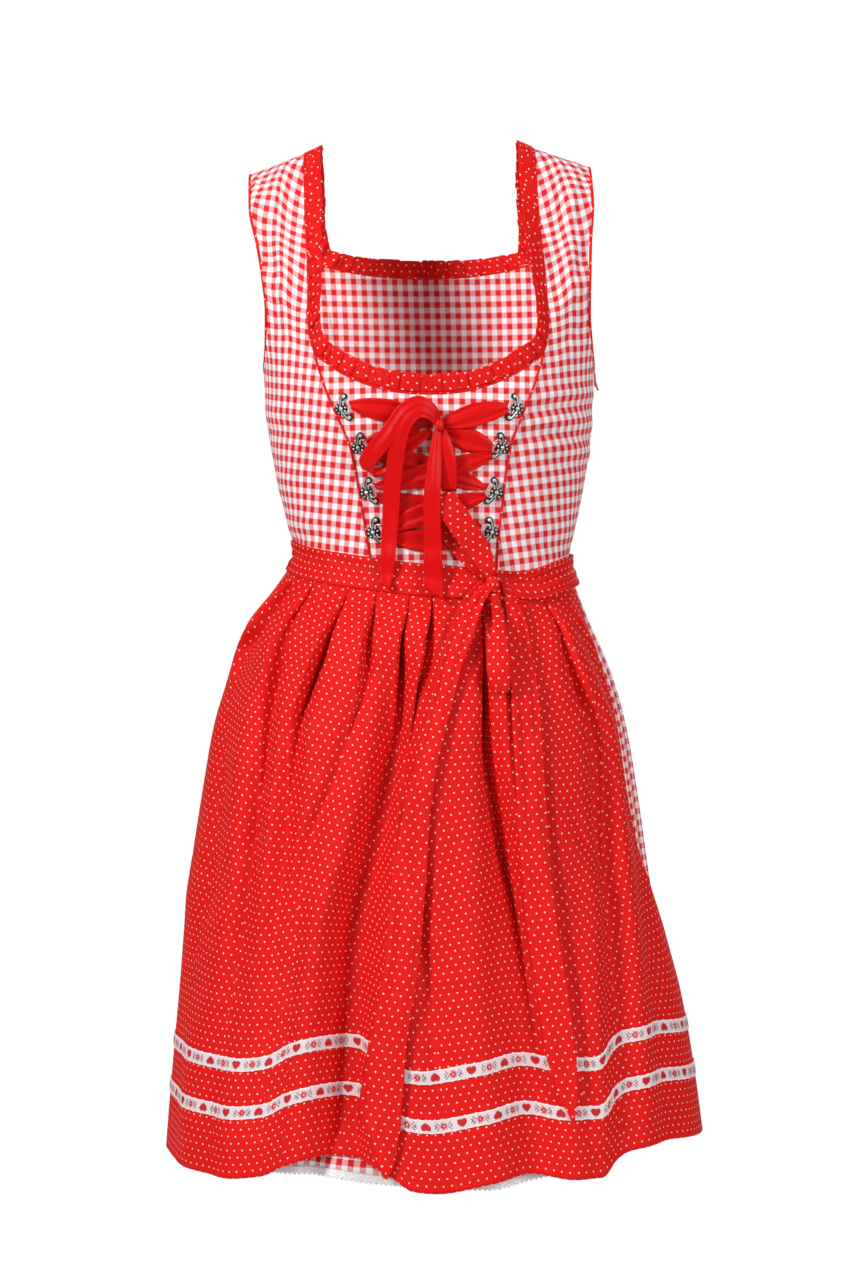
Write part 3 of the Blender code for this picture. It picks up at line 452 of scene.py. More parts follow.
def inverse(tree, value):
    # 1 where the value is 0
    return mathNode(tree, "SUBTRACT", 1.0, value)


def bumped(tree, shader, height, strength, distance=0.0003):
    # relief that is only shaded, its distance in metres
    inputs = {"Strength": strength, "Distance": distance, "Height": height}
    bump = addNode(tree, "ShaderNodeBump", None, inputs)
    tree.links.new(bump.outputs[0], shader.inputs["Normal"])


def ginghamCotton():
    # woven cotton gingham, yarn dyed: 5 mm stripes both ways, so red, white and half-tone squares; matt
    look = {"warpRepeat": 9.9, "weftRepeat": 10.8, "red": "DF2227", "white": "FAF4F6", "thread": 0.9}
    look |= {"edge": 0.045, "drift": 0.09, "halfTone": 1.33, "roughness": 0.85, "gloss": 0.18}
    material, tree, shader = newMaterial("yarnDyedGingham", look["roughness"], look["gloss"])
    place, u, v = clothCoordinates(tree)
    drift = mathNode(tree, "MULTIPLY_ADD", noise(tree, place, 0.35, 2.0), look["drift"], -look["drift"] / 2)
    warp, weft = (
        softStep(tree, mathNode(tree, "ADD", waveOf(tree, value, look[repeat]), drift), 0.5, look["edge"])
        for value, repeat in ((u, "warpRepeat"), (v, "weftRepeat"))
    )
    over = softStep(tree, weaveHeight(tree, u, v, look["thread"] * 2), 0.0, 0.9)
    # a square shows its warp where the warp thread lies on top, else its weft
    share = mathNode(tree, "MULTIPLY_ADD", over, 0.5, 0.25)
    warpSeen = mathNode(tree, "MULTIPLY", warp, share)
    weftSeen = mathNode(tree, "MULTIPLY", weft, inverse(tree, share))
    white = inverse(tree, mathNode(tree, "ADD", warpSeen, weftSeen))
    # the eye sees the half-tone squares as a strong pink
    seen = inverse(tree, mathNode(tree, "POWER", white, look["halfTone"]))
    colour = mixColour(tree, seen, linear(look["white"]), linear(look["red"]))
    tree.links.new(colour, shader.inputs["Base Color"])
    bumped(tree, shader, weaveHeight(tree, u, v, look["thread"]), 0.25)
    return material


def dottedCotton():
    # printed poplin: bright red ground, small off-white dots in staggered rows; matt with a faint sheen
    look = {"column": 7.7, "row": 6.2, "radius": 0.74, "edge": 0.2, "wobble": 0.3, "thread": 0.8}
    look |= {"ground": "E2100D", "deeper": "D90D0B", "dot": "EFD0BF", "roughness": 0.7, "gloss": 0.18}
    material, tree, shader = newMaterial("dottedPoplin", look["roughness"], look["gloss"])
    place, u, v = clothCoordinates(tree)
    nearest = None
    for shift in (0.0, 0.5):
        parts = []
        for value, pitch in ((u, look["column"]), (v, 2 * look["row"])):
            moved = mathNode(tree, "ADD", mathNode(tree, "DIVIDE", value, pitch), shift)
            cell = mathNode(tree, "SUBTRACT", mathNode(tree, "FRACT", moved), 0.5)
            parts.append(mathNode(tree, "MULTIPLY", cell, pitch))
        squares = [mathNode(tree, "MULTIPLY", part, part) for part in parts]
        away = mathNode(tree, "SQRT", mathNode(tree, "ADD", *squares))
        nearest = away if nearest is None else mathNode(tree, "MINIMUM", nearest, away)
    wobble = mathNode(tree, "MULTIPLY_ADD", noise(tree, place, 0.6, 1.0), look["wobble"], -look["wobble"] / 2)
    away = mathNode(tree, "ADD", nearest, wobble)
    dot = inverse(tree, softStep(tree, away, look["radius"], look["edge"]))
    ground = mixColour(tree, noise(tree, place, 0.03, 2.0), linear(look["ground"]), linear(look["deeper"]))
    tree.links.new(mixColour(tree, dot, ground, linear(look["dot"])), shader.inputs["Base Color"])
    bumped(tree, shader, weaveHeight(tree, u, v, look["thread"]), 0.2)
    return material


def satinRibbon():
    # polyester satin: long floats along the ribbon give it a smooth bright gloss, and its colour is painted
    # with streaks of sheen and shade along it
    look = {"paintedShade": "C80405", "light": "E20807", "roughness": 0.42, "gloss": 0.17}
    look |= {"streakAcross": 0.5, "streakAlong": 0.03}
    material, tree, shader = newMaterial("redSatin", look["roughness"], look["gloss"])
    u, v = clothCoordinates(tree)[1:]
    # painted sheen and shade: noise stretched along the ribbon mixes a shaded red and a lit red in long
    # streaks
    across = mathNode(tree, "MULTIPLY", u, look["streakAcross"])
    along = mathNode(tree, "MULTIPLY", v, look["streakAlong"])
    stretched = addNode(tree, "ShaderNodeCombineXYZ", None, {0: across, 1: along}).outputs[0]
    colour = mixColour(tree, noise(tree, stretched, 1.0, 2.0), linear(look["paintedShade"]), linear(look["light"]))
    tree.links.new(colour, shader.inputs["Base Color"])
    return material


def wovenTrim():
    # jacquard ribbon: the figure is woven in colour, with fine cross ribs; the furrows between the ribs are
    # painted a little darker as shade
    look = {"rib": 0.9, "ribShade": 0.10, "ribShadowColour": (0.25, 0.2, 0.2, 1.0), "roughness": 0.7, "gloss": 0.3}
    material, tree, shader = newMaterial("jacquardRibbon", look["roughness"], look["gloss"])
    u, v = clothCoordinates(tree)[1:]
    figure = addNode(tree, "ShaderNodeAttribute", {"attribute_name": "woven"})
    ribs = mathNode(tree, "MULTIPLY_ADD", ribsOf(tree, u, look["rib"]), 0.5, 0.5)
    # painted shade in the rib furrows: the woven colour is mixed up to a tenth of the way to a dark grey
    paintedShade = mathNode(tree, "MULTIPLY", ribs, look["ribShade"])
    colour = mixColour(tree, paintedShade, figure.outputs[0], look["ribShadowColour"])
    tree.links.new(colour, shader.inputs["Base Color"])
    bumped(tree, shader, weaveHeight(tree, u, v, look["rib"]), 0.35)
    return material


def cottonLace():
    # white cotton edging: dense crochet-like stitches, matt; the sunken middles of its uncut holes are
    # painted grey as shade
    look = {"stitches": 0.9, "hole": 0.16, "edge": 0.1, "thread": "FFFFFF", "deep": "D9D2D2"}
    look |= {"relief": 0.5, "roughness": 0.9}
    material, tree, shader = newMaterial("cottonLace", look["roughness"])
    place = clothCoordinates(tree)[0]
    inputs = {"Vector": place, "Scale": look["stitches"]}
    cells = addNode(tree, "ShaderNodeTexVoronoi", {"feature": "DISTANCE_TO_EDGE"}, inputs)
    away = softStep(tree, cells.outputs[0], look["hole"], look["edge"])
    # painted shade: white on the threads, grey in the middles of the holes
    colour = mixColour(tree, away, linear(look["thread"]), linear(look["deep"]))
    tree.links.new(colour, shader.inputs["Base Color"])
    bumped(tree, shader, inverse(tree, away), look["relief"], 0.0004)
    return material


def antiqueSilver():
    # cast zinc with an antique silver finish, worn and bright in random patches; the dark round the relief is
    # the near-black plate under it, painted shade together with the finish's own dark in the recesses
    look = {"worn": "B2B0AC", "bright": "FFFDF8", "grain": 900.0, "roughness": 0.32}
    material, tree, shader = newMaterial("antiqueSilver", look["roughness"], metallic=1.0)
    place = addNode(tree, "ShaderNodeTexCoord").outputs["Object"]
    grime = noise(tree, place, look["grain"], 3.0)
    colour = mixColour(tree, grime, linear(look["worn"]), linear(look["bright"]))
    tree.links.new(colour, shader.inputs["Base Color"])
    bumped(tree, shader, grime, 0.3, 0.0002)
    return material


def plainFinish(name, code, roughness, metallic=0.0):
    # one even colour
    material, _, shader = newMaterial(name, roughness, metallic=metallic)
    shader.inputs["Base Color"].default_value = linear(code)
    return material


poplin = dottedCotton()
# material and slot of each finish
finishes = {
    "gingham": (ginghamCotton(), "gingham_cotton"),
    "dotted": (poplin, "dotted_cotton"),
    "piping": (poplin, "red_piping"),
    "satin": (satinRibbon(), "red_satin_ribbon"),
    "jacquard": (wovenTrim(), "woven_ribbon_trim"),
    "lace": (cottonLace(), "white_cotton_lace"),
    "silver": (antiqueSilver(), "antique_silver"),
    # near-black plates under the hooks' relief: painted shade round and between the bright parts, with the
    # antique finish's own dark in the recesses
    "darkSilver": (plainFinish("tarnishedSilver", "1C1B1B", 0.6, 0.4), "antique_silver"),
}
print("materials made")


# inner and outer edge of a front panel and of the back's sides, from the waist up; 0 is the side seam
frontRows = table(
    "innerX innerHeight outerX outerHeight",
    (60, -341, 0, -345),
    (65, -305, 0, -310),
    (71, -270, 0, -276),
    (82, -241, 0, -246),
    (94, -211, 0, -218),
    (102.5, -184, 0, -194),
    (107, -170, 151.5, -190),
    (109, -150, 148.5, -170),
    (108.5, -126, 147, -142),
    (108, -98, 149, -108),
    (107.5, -70, 152, -78),
)
backRows = table(
    "innerX innerHeight outerX outerHeight",
    (48, -341, 0, -345),
    (52, -305, 0, -310),
    (58, -270, 0, -276),
    (65, -241, 0, -246),
    (74, -211, 0, -218),
    (83, -180, 0, -194),
    (90, -146, 151, -190),
    (96, -112, 146, -168),
    (101, -84, 143, -138),
    (104.5, -70, 145, -106),
    (106.5, -58, 150.5, -76),
)
# rows of the edge tables in the seams, widths and gaps in mm, the side panels' grain in degrees, the
# unevenness of the cloth and the cells of its lattice
bodice = {
    "seamRows": 6,
    "backSeamRows": 9,
    "shoulderTurns": (68, 50, 34, 17, 0.35),
    "strapWidth": 50,
    "seamInAtWaist": 4,
    "rowsFine": 150,
    "sideColumns": 64,
    "centre": {"columns": 110, "rows": 90},
    "backCentre": {"columns": 80, "rows": 80},
    "backSideColumns": 36,
    "waistRows": 9,
    "seamGap": 0.3,
    "meanRadius": 120.0,
    "waistGap": 0.5,
    "grain": 8.0,
    "uneven": 0.35,
    "latticeUp": 3.0,
    "latticeAround": 1.5,
}


def edgeRows(rows, sign, back=False):
    # (angle, height) of a side panel's inner and outer edge, from the waist to the shoulder seam
    turn = 180.0 if back else 0.0

    def place(x, height):
        # the angle counts from the front's middle, also for the back
        angle = sectionAngle(bodiceSections, x, height, lean=False)
        return (turn - angle if back else angle), height

    start = place(rows["innerX"][0] - bodice["seamInAtWaist"], waist(sign * 30.0))[0]
    inner = [(start, waist(sign * start) + bodice["waistGap"])]
    outer = [(90.0, waist(sign * 90.0) + bodice["waistGap"])]
    for innerX, innerHeight, outerX, outerHeight in zip(*rows.values()):
        inner.append(place(innerX, innerHeight))
        outer.append(place(outerX, outerHeight) if outerX else (90.0, outerHeight))
    for turnUp in bodice["shoulderTurns"]:
        drop = form["shoulderRound"] * (1 - math.cos(math.radians(turnUp)))
        for edge, half in ((inner, form["neckHalf"]), (outer, form["neckHalf"] + bodice["strapWidth"])):
            edge.append(place(half, shoulderLine(sign * half) - drop))
    return np.array(inner, float), np.array(outer, float)


def fineRows(edge, first, last, count):
    # a smooth edge through its rows, from one row to another
    keys = np.arange(len(edge), dtype=float)
    at = np.linspace(first, last, count)
    return np.stack([through(keys, edge[:, 0], at), through(keys, edge[:, 1], at)], -1)


def grainLattice():
    # arc lengths over the whole bodice: u round each section from the centre, v up each line of equal angle
    heights = np.arange(-420, 32, bodice["latticeUp"])
    angles = np.arange(-180, 181, bodice["latticeAround"])
    grid = bodicePoint(angles + 0 * heights[:, None], heights[:, None] + 0 * angles)
    u = runAcross(grid)
    u = u - u[:, len(angles) // 2][:, None]
    across = unit(np.gradient(grid, axis=1))
    step = np.diff(grid, axis=0)
    sideways = (step * across[:-1]).sum(-1)
    up = np.sqrt(np.maximum((step**2).sum(-1) - sideways**2, 1e-6))
    v = np.concatenate([np.zeros((1, len(angles))), np.cumsum(up, 0)], 0) + heights[0]
    return heights, angles, u, v


lattice = grainLattice()


def latticeAt(angle, height):
    # cloth coordinates read from the lattice
    heights, angles, u, v = lattice
    row = np.clip((height - heights[0]) / bodice["latticeUp"], 0, len(heights) - 1.001)
    column = np.clip((angle - angles[0]) / bodice["latticeAround"], 0, len(angles) - 1.001)
    return readGrid(u, row, column), readGrid(v, row, column)


# the cloth of a strap: heights from which and to which it changes, where its middle runs, how steeply its
# rows climb, its long fold and its wave, and how far below the shoulder seam they swing round
strapCloth = {
    "heights": (-215, -90),
    "middle": 132.0,
    "climb": 0.2,
    "fold": (5.0, 3.0, 9.0),
    "wave": (2.2, 13.0, 0.05),
    "waveHeights": (-190, -120),
    "sway": (1.6, 9.0),
    "swing": (52, 6),
}


def bodiceUv(angle, height, grain=0.0):
    # turned by the panel's grain angle. In a strap the rows climb outwards, dip at its long fold and swing
    # round until they lie along the shoulder seam
    u, v = latticeAt(angle, height)
    if grain:
        up = rise(height, *strapCloth["heights"])
        across = np.abs(u) - strapCloth["middle"]
        deep, place, wide = strapCloth["fold"]
        fold = deep * np.exp(-(((across - place) / wide) ** 2))
        high, pitch, slant = strapCloth["wave"]
        wave = high * np.sin(height / pitch + slant * across) * rise(height, *strapCloth["waveHeights"])
        seam = v[-1:]
        near = rise(v, seam - strapCloth["swing"][0], seam - strapCloth["swing"][1])
        v = v - up * (strapCloth["climb"] * across + fold) + wave * (1 - near) + near * (seam.mean() - seam)
        high, pitch = strapCloth["sway"]
        u = u + np.sign(u) * up * high * np.sin(across / pitch)
    turn = math.radians(grain)
    turnedU = u * math.cos(turn) - v * math.sin(turn)
    turnedV = u * math.sin(turn) + v * math.cos(turn)
    return turnedU, turnedU, turnedV


# soft folds in the front view: a ridge (or trough) along a short line, its half width and height in mm
frontFolds = table(
    "x0 z0 x1 z1 half high",
    (-134, -4, -130, -130, 5, 2.4),
    (-144, -30, -142, -150, 5, -1.8),
    (-158, -40, -138, -84, 7, 1.8),
    (-160, -76, -136, -112, 7, -1.6),
    (-156, -104, -118, -146, 7, 1.8),
    (-120, -60, -112, -130, 5, -1.4),
    (-150, -150, -116, -178, 7, -1.4),
    (133, -4, 126, -120, 5, 2.4),
    (146, -30, 142, -140, 5, -1.8),
    (158, -36, 136, -80, 7, 1.8),
    (156, -70, 132, -110, 7, -1.6),
    (152, -100, 116, -144, 7, 1.8),
    (118, -50, 112, -120, 5, -1.4),
    (150, -150, 116, -176, 7, -1.4),
    (148, -214, 96, -222, 6, 1.8),
    (148, -226, 90, -234, 5, -1.8),
    (148, -240, 84, -246, 6, 2.0),
    (148, -254, 80, -256, 5, -1.8),
    (148, -268, 92, -266, 6, 1.6),
    (148, -282, 110, -280, 6, -1.2),
    (-150, -232, -112, -240, 8, 1.0),
    (-152, -250, -110, -252, 8, -1.0),
    (-140, -300, -104, -290, 9, 0.9),
    (-132, -338, -96, -330, 7, 1.3),
    (-130, -352, -92, -346, 6, -1.2),
    (-112, -364, -108, -330, 5, 1.3),
    (128, -340, 84, -336, 8, 1.0),
    (126, -356, 70, -352, 6, -1.0),
    (-60, -208, 60, -214, 6, 0.7),
    (-70, -222, -20, -236, 6, -0.7),
    (20, -238, 74, -222, 6, -0.7),
)
backFolds = table(
    "x0 z0 x1 z1 half high",
    (-130, -330, -50, -350, 9, 1.4),
    (-136, -306, -70, -322, 9, -1.2),
    (132, -326, 56, -346, 9, 1.3),
    (136, -300, 70, -318, 8, -1.2),
    (-60, -362, 60, -360, 7, 1.0),
    (-150, -200, -104, -236, 10, 1.3),
    (150, -204, 104, -240, 10, 1.2),
    (-156, -60, -118, -120, 9, 1.3),
    (154, -60, 118, -120, 9, 1.3),
    (-40, -120, 44, -124, 10, 0.9),
)


def foldHeight(points, folds):
    # sum of the folds: each falls off with the distance from its slightly bowed line, and towards its ends
    x, z = points[..., 0], points[..., 2]
    total = np.zeros_like(x)
    for x0, z0, x1, z1, half, high in zip(*folds.values()):
        length = math.hypot(x1 - x0, z1 - z0)
        ux, uz = (x1 - x0) / length, (z1 - z0) / length
        along = ((x - x0) * ux + (z - z0) * uz) / length
        bow = 0.08 * length * (np.clip(along, 0, 1) - 0.5) ** 2
        across = (x - x0) * uz - (z - z0) * ux + bow
        ends = np.exp(-((np.maximum(np.abs(along - 0.5) - 0.5, 0) * length / (1.4 * half)) ** 2))
        swell = 0.55 + 0.45 * np.cos(np.pi * (along - 0.5))
        total += high * ends * np.exp(-((across / half) ** 2)) * swell
    return total


def dressed(angle, height):
    # outer face of the bodice with its folds and a slight unevenness of the cloth
    points = bodicePoint(angle, height)
    normal = outward(points)
    high = np.where(normal[..., 1] < 0, foldHeight(points, frontFolds), foldHeight(points, backFolds))
    x, z = points[..., 0], points[..., 2]
    uneven = bodice["uneven"] * np.sin(x / 17.0 + 1.3 * np.sin(z / 29.0)) * np.sin(z / 23.0 + 0.7)
    return points + normal * (form["wall"] + high + uneven)[..., None]


def seamTurn(back):
    # half of a seam's gap as an angle; the back is one piece and has no seams
    return 0.0 if back else math.degrees(bodice["seamGap"] / 2 / bodice["meanRadius"])


def sidePanel(rows, sign, columns, back=False):
    # straight across from the inner to the outer edge, with the lowest rows brought down to the waist
    inner, outer = edgeRows(rows, sign, back)
    last = len(inner) - 1
    inner = fineRows(inner, 0, last, bodice["rowsFine"])
    outer = fineRows(outer, 0, last, bodice["rowsFine"])
    share = np.linspace(0, 1, columns)[None, :, None]
    spread = inner[:, None] * (1 - share) + outer[:, None] * share
    spread[:, 0, 0] += seamTurn(back)
    spread[:, -1, 0] -= seamTurn(back)
    onWaist = waist(sign * spread[:1, :, 0]) + bodice["waistGap"]
    count = bodice["waistRows"]
    low = np.linspace(0, 1, count)[:, None]
    spread[:count, :, 1] = onWaist + low * (spread[count - 1 : count, :, 1] - onWaist)
    angle, height = sign * spread[..., 0], spread[..., 1]
    if (sign > 0) == back:
        angle, height = angle[:, ::-1], height[:, ::-1]
    return angle, height


def centrePanel(rows, seamRows, top, size, back=False):
    # between the two inner edges; its top and its rows dip towards the middle with the square of the share
    centre, side = (180.0, -1) if back else (0.0, 1)
    columns, count = size["columns"], size["rows"]
    plus = fineRows(edgeRows(rows, side, back)[0], 0, seamRows, count)
    minus = fineRows(edgeRows(rows, -side, back)[0], 0, seamRows, count)
    middle = np.linspace(waist(centre) + bodice["waistGap"], top, count)[:, None]
    share = np.linspace(-1, 1, columns)[None, :]
    edge = np.where(share > 0, plus[:, :1], minus[:, :1])
    height = np.where(share > 0, plus[:, 1:], minus[:, 1:])
    half = np.abs(edge - centre) - seamTurn(back) * np.abs(share) ** 6
    angle = centre + share * half
    height = middle + (height - middle) * share**2
    height[0] = waist(turned(angle[0])) + bodice["waistGap"]
    return angle, height


def makeBodice():
    # the two side fronts and the centre front, then the back, whose three grids are welded into one
    for name, sign in (("bodiceFrontLeft", 1), ("bodiceFrontRight", -1)):
        angle, height = sidePanel(frontRows, sign, bodice["sideColumns"])
        points = dressed(angle, height)
        uv = bodiceUv(angle, height, -bodice["grain"] * sign)
        cutSheet(gridPiece(name, points, "gingham", uv), [points])
    angle, height = centrePanel(frontRows, bodice["seamRows"], form["neckFront"], bodice["centre"])
    points = dressed(angle, height)
    item = gridPiece("bodiceFrontCentre", points, "gingham", bodiceUv(angle, height))
    cutSheet(item, [points])
    grids = [centrePanel(backRows, bodice["backSeamRows"], form["neckBack"], bodice["backCentre"], back=True)]
    grids += [sidePanel(backRows, sign, bodice["backSideColumns"], back=True) for sign in (1, -1)]
    surfaces = [dressed(angle, height) for angle, height in grids]
    parts = [
        gridPiece(f"back{number}", points, "gingham", backUv(*grid), 0, joinsLater=True)
        for number, (points, grid) in enumerate(zip(surfaces, grids))
    ]
    cutSheet(joinPieces("bodiceBack", parts, form["wall"]), surfaces)


def backUv(angle, height):
    # the lattice runs from -180 to 180, so the back is read from both ends and meets at the centre back
    wrapped = turned(angle)
    u, _, v = bodiceUv(wrapped, height)
    side = np.where(wrapped < 0, -1, 1)
    ends = bodiceUv(179.99 * side, height)[0]
    return u - ends, u - ends, v


def joinPieces(name, parts, wall):
    # welds pieces that share an edge into one
    bpy.ops.object.select_all(action="DESELECT")
    for part in parts:
        part.select_set(True)
    bpy.context.view_layer.objects.active = parts[0]
    bpy.ops.object.join()
    item = parts[0]
    item.name = item.data.name = name
    bpy.ops.object.mode_set(mode="EDIT")
    bpy.ops.mesh.select_all(action="SELECT")
    bpy.ops.mesh.remove_doubles(threshold=0.00012)
    bpy.ops.object.mode_set(mode="OBJECT")
    addWall(item, wall)
    standFor(item)
    return item


makeBodice()
print("bodice made")


# radii of the cords, how far the edges overlap them and how far they stand off the worn form
piping = {"radius": 1.35, "overlap": 0.3, "out": 0.8, "seamRadius": 1.05, "seamOut": 2.3}
piping |= {"waistGap": 0.3, "topEnd": 3, "neckRings": 620, "armholeRings": 320, "seamRings": 110}


def neckEdge():
    # (angle, height) down the right front, along the dip, up the left front and round the back neck
    rows, backSeam = bodice["seamRows"], bodice["backSeamRows"]
    left, right = edgeRows(frontRows, 1)[0], edgeRows(frontRows, -1)[0]
    front = [(-angle, height) for angle, height in right[:rows:-1]]
    for share in np.linspace(-1, 1, 25):
        low = right[rows] if share < 0 else left[rows]
        front.append((share * low[0], form["neckFront"] + (low[1] - form["neckFront"]) * share**2))
    front += list(left[rows + 1 :])
    left, right = edgeRows(backRows, 1, True)[0], edgeRows(backRows, -1, True)[0]
    back = list(left[:backSeam:-1])
    for share in np.linspace(1, -1, 21):
        low = left[backSeam] if share > 0 else right[backSeam]
        back.append((180 - share * (180 - low[0]), form["neckBack"] + (low[1] - form["neckBack"]) * share**2))
    back += [(-angle, height) for angle, height in right[backSeam + 1 :]]
    return np.array(front), np.array(back)


def armholeEdge(sign):
    # (angle, height) up the front and down the back of an armhole
    front, back = edgeRows(frontRows, sign)[1], edgeRows(backRows, sign, True)[1]
    return np.concatenate([front[bodice["seamRows"] :], back[: bodice["seamRows"] : -1]]) * (sign, 1)


def surfaceOut(edge):
    # the bodice's normal along an edge
    angle, height = edge[:, 0], edge[:, 1]
    across = bodicePoint(angle + 0.5, height) - bodicePoint(angle - 0.5, height)
    up = bodicePoint(angle, height + 0.02) - bodicePoint(angle, height - 0.5)
    return unit(np.cross(across, up))


def intoOpening(points, out):
    # at right angles to a closed edge and to the cloth's normal
    return unit(np.cross(unit(np.roll(points, -1, 0) - np.roll(points, 1, 0)), out))


def resample(points, count, closed=False):
    # the curve through the points at even steps of its length
    if closed:
        points = np.concatenate([points[-4:], points, points[:5]])
    length = runLength(points)
    first, last = (length[4], length[-5]) if closed else (0, length[-1])
    at = np.linspace(first, last, count + 1)[:-1] if closed else np.linspace(first, last, count)
    return np.stack([through(length, points[:, axis], at) for axis in range(3)], -1)


def softened(values, reach):
    # mean over neighbours, so that corners are carried round smoothly
    padded = np.pad(values, ((reach, reach), (0, 0)), "edge")
    kernel = np.hanning(2 * reach + 3)[1:-1]
    kernel = kernel / kernel.sum()
    return np.stack([np.convolve(column, kernel, "valid") for column in padded.T], -1)


def tubePiece(name, path, radius, closed=False):
    # a round cord covered with cloth cut on the slant: rings of one radius along the path
    sides, slant = 10, 0.707
    rings = tubePoints(path, radius, sides, closed)
    if closed:
        rings = np.concatenate([rings, rings[:1]])
    around = np.linspace(0, 2 * np.pi * radius, sides + 1)
    grid = np.concatenate([rings, rings[:, :1]], 1)
    length = runLength(rings.mean(1))[:, None]
    u, v = (around + length) * slant, (length - around) * slant
    item = gridPiece(name, grid[:, ::-1], "piping", (u, u, v), 0)
    weld(item)
    return item


def weld(item):
    # joins the two edges of a grid that meet, within 0.02 mm, and closes its open ends
    shape = bmesh.new()
    shape.from_mesh(item.data)
    bmesh.ops.remove_doubles(shape, verts=shape.verts, dist=0.02 * mm)
    holes = [edge for edge in shape.edges if edge.is_boundary]
    if holes:
        bmesh.ops.holes_fill(shape, edges=holes)
    shape.to_mesh(item.data)
    shape.free()


def edgeLine(edge, reach):
    # a line beside an edge, on the opening's side of it with a positive reach
    points, out = bodicePoint(edge[:, 0], edge[:, 1]), surfaceOut(edge)
    return points + intoOpening(points, out) * reach + out * piping["out"]


def makePiping():
    # cords in the neck edge and the armholes, and thinner ones in the two front seams
    reach = piping["radius"] - piping["overlap"]
    line = edgeLine(np.concatenate(neckEdge()), -reach)
    tubePiece("neckPiping", resample(line, piping["neckRings"], True), piping["radius"], closed=True)
    for name, sign in (("armholePipingLeft", 1), ("armholePipingRight", -1)):
        line = edgeLine(armholeEdge(sign), sign * reach)
        tubePiece(name, resample(line, piping["armholeRings"], True), piping["radius"], closed=True)
    for name, sign in (("seamPipingLeft", 1), ("seamPipingRight", -1)):
        seam = fineRows(edgeRows(frontRows, sign)[0], 0, bodice["seamRows"], 60) * (sign, 1)
        seam[0, 1] += piping["waistGap"]
        seam[-1, 1] -= piping["topEnd"]
        line = bodicePoint(seam[:, 0], seam[:, 1]) + surfaceOut(seam) * piping["seamOut"]
        tubePiece(name, resample(line, piping["seamRings"]), piping["seamRadius"])


# front and back: mean width of a gather in each half of the neck. Then how high the cloth lies and stands up,
# how its gathers climb and crease and how far they differ, and points along a half before and after smoothing
frill = {"width": 15.6, "wall": 0.7, "front": 11.0, "back": 12.0, "rows": 11, "fullness": 1.15, "rootIn": 0.6}
frill |= {"lying": 0.4, "standing": 2.6, "climb": 0.9, "top": 1.1, "creaseDeep": 1.9, "creases": (0.09, 0.05)}
frill |= {"sizes": (0.8, 1.3), "turns": (-0.35, 0.35), "even": 500, "corners": 9}
# where the points of one gather lie along it, closest together in the crease
gatherSteps = np.array((0, 0.05, 0.1, 0.16, 0.24, 0.34, 0.46, 0.58, 0.7, 0.8, 0.88, 0.94, 0.98))


def gathered(length, pitch):
    # lengths at which gathers start, uneven from one to the next
    count = max(2, round(length / pitch))
    widths = 0.35 + dice.gamma(1.5, 0.6, count)
    return np.concatenate([[0], np.cumsum(widths)]) * length / widths.sum()


def makeFrill():
    # knife gathers: flat tops of uneven width, each ending in a dark crease that is deepest at the piping
    # and fades towards the free edge, which steps in and out a little from one gather to the next
    front, back = neckEdge()
    loop = np.concatenate([front, back])
    out = surfaceOut(loop)
    points = bodicePoint(loop[:, 0], loop[:, 1])
    into = -intoOpening(points, out)
    root = points + into * (2 * piping["radius"] - frill["rootIn"])
    step = np.linspace(0, 1, frill["rows"])[:, None]
    for half, start, end in (("front", 0, len(front)), ("back", len(front), len(loop))):
        length = runLength(root[start:end])[-1]
        starts = gathered(length, frill[half])
        count = len(starts) - 1
        at = np.append((starts[:-1, None] + np.diff(starts)[:, None] * gatherSteps).reshape(-1), length)
        phase = np.append(np.tile(gatherSteps, count), 1.0)
        number = np.append(np.repeat(np.arange(count), len(gatherSteps)), count - 1)
        even = np.linspace(0, length, frill["even"])
        line, side, lift = (resample(values[start:end], frill["even"]) for values in (root, into, out))
        side, lift = (unit(softened(values, frill["corners"])) for values in (side, lift))
        line, side, lift = (readLine(values, even, at) for values in (line, side, lift))
        wide = np.minimum(np.diff(starts) / frill[half], 1.4)[number]
        size = wide * dice.uniform(*frill["sizes"], len(starts))[number]
        jag = dice.uniform(-1.0, 1.0, len(starts))[number]
        turnBy = dice.uniform(*frill["turns"], len(starts))[number]
        shift = dice.uniform(0, 12, len(starts))[number]
        # height of a gather over its root: a climbing top with a crease at each end
        first, last = frill["creases"]
        crease = np.exp(-((phase / first) ** 2)) + np.exp(-(((1 - phase) / last) ** 2))
        top = 1 - np.abs(2 * phase - 1) ** 3
        climb = frill["climb"] * (phase - 0.35) * (1 - 0.4 * step) + frill["top"] * top
        sunk = frill["creaseDeep"] * crease * (1 - 0.75 * step**1.5)
        high = frill["lying"] + frill["standing"] * step**0.8 + size * (climb - sunk)
        uneven = 0.8 * jag + 0.5 * top + 1.6 * turnBy * (phase - 0.5) - 0.9 * crease
        reach = frill["width"] * step + step**2 * uneven
        along = unit(np.gradient(line, axis=0))
        pulled = (turnBy * 5.0 * (step - 0.5) + 0.8 * size * (phase - 0.5)) * (1 - np.minimum(crease, 1))
        grid = line + side * reach[..., None] + lift * high[..., None] + along * pulled[..., None]
        u = at + 7.0 * number + shift + turnBy * 6.0 * step
        v = reach + 0.6 * shift
        uv = (u[::-1], u[::-1], v[::-1])
        item = gridPiece(f"neckFrill{half.title()}", grid[::-1], "dotted", uv, frill["wall"])
        cutSheet(item, [grid])


makePiping()
makeFrill()
print("edges made")


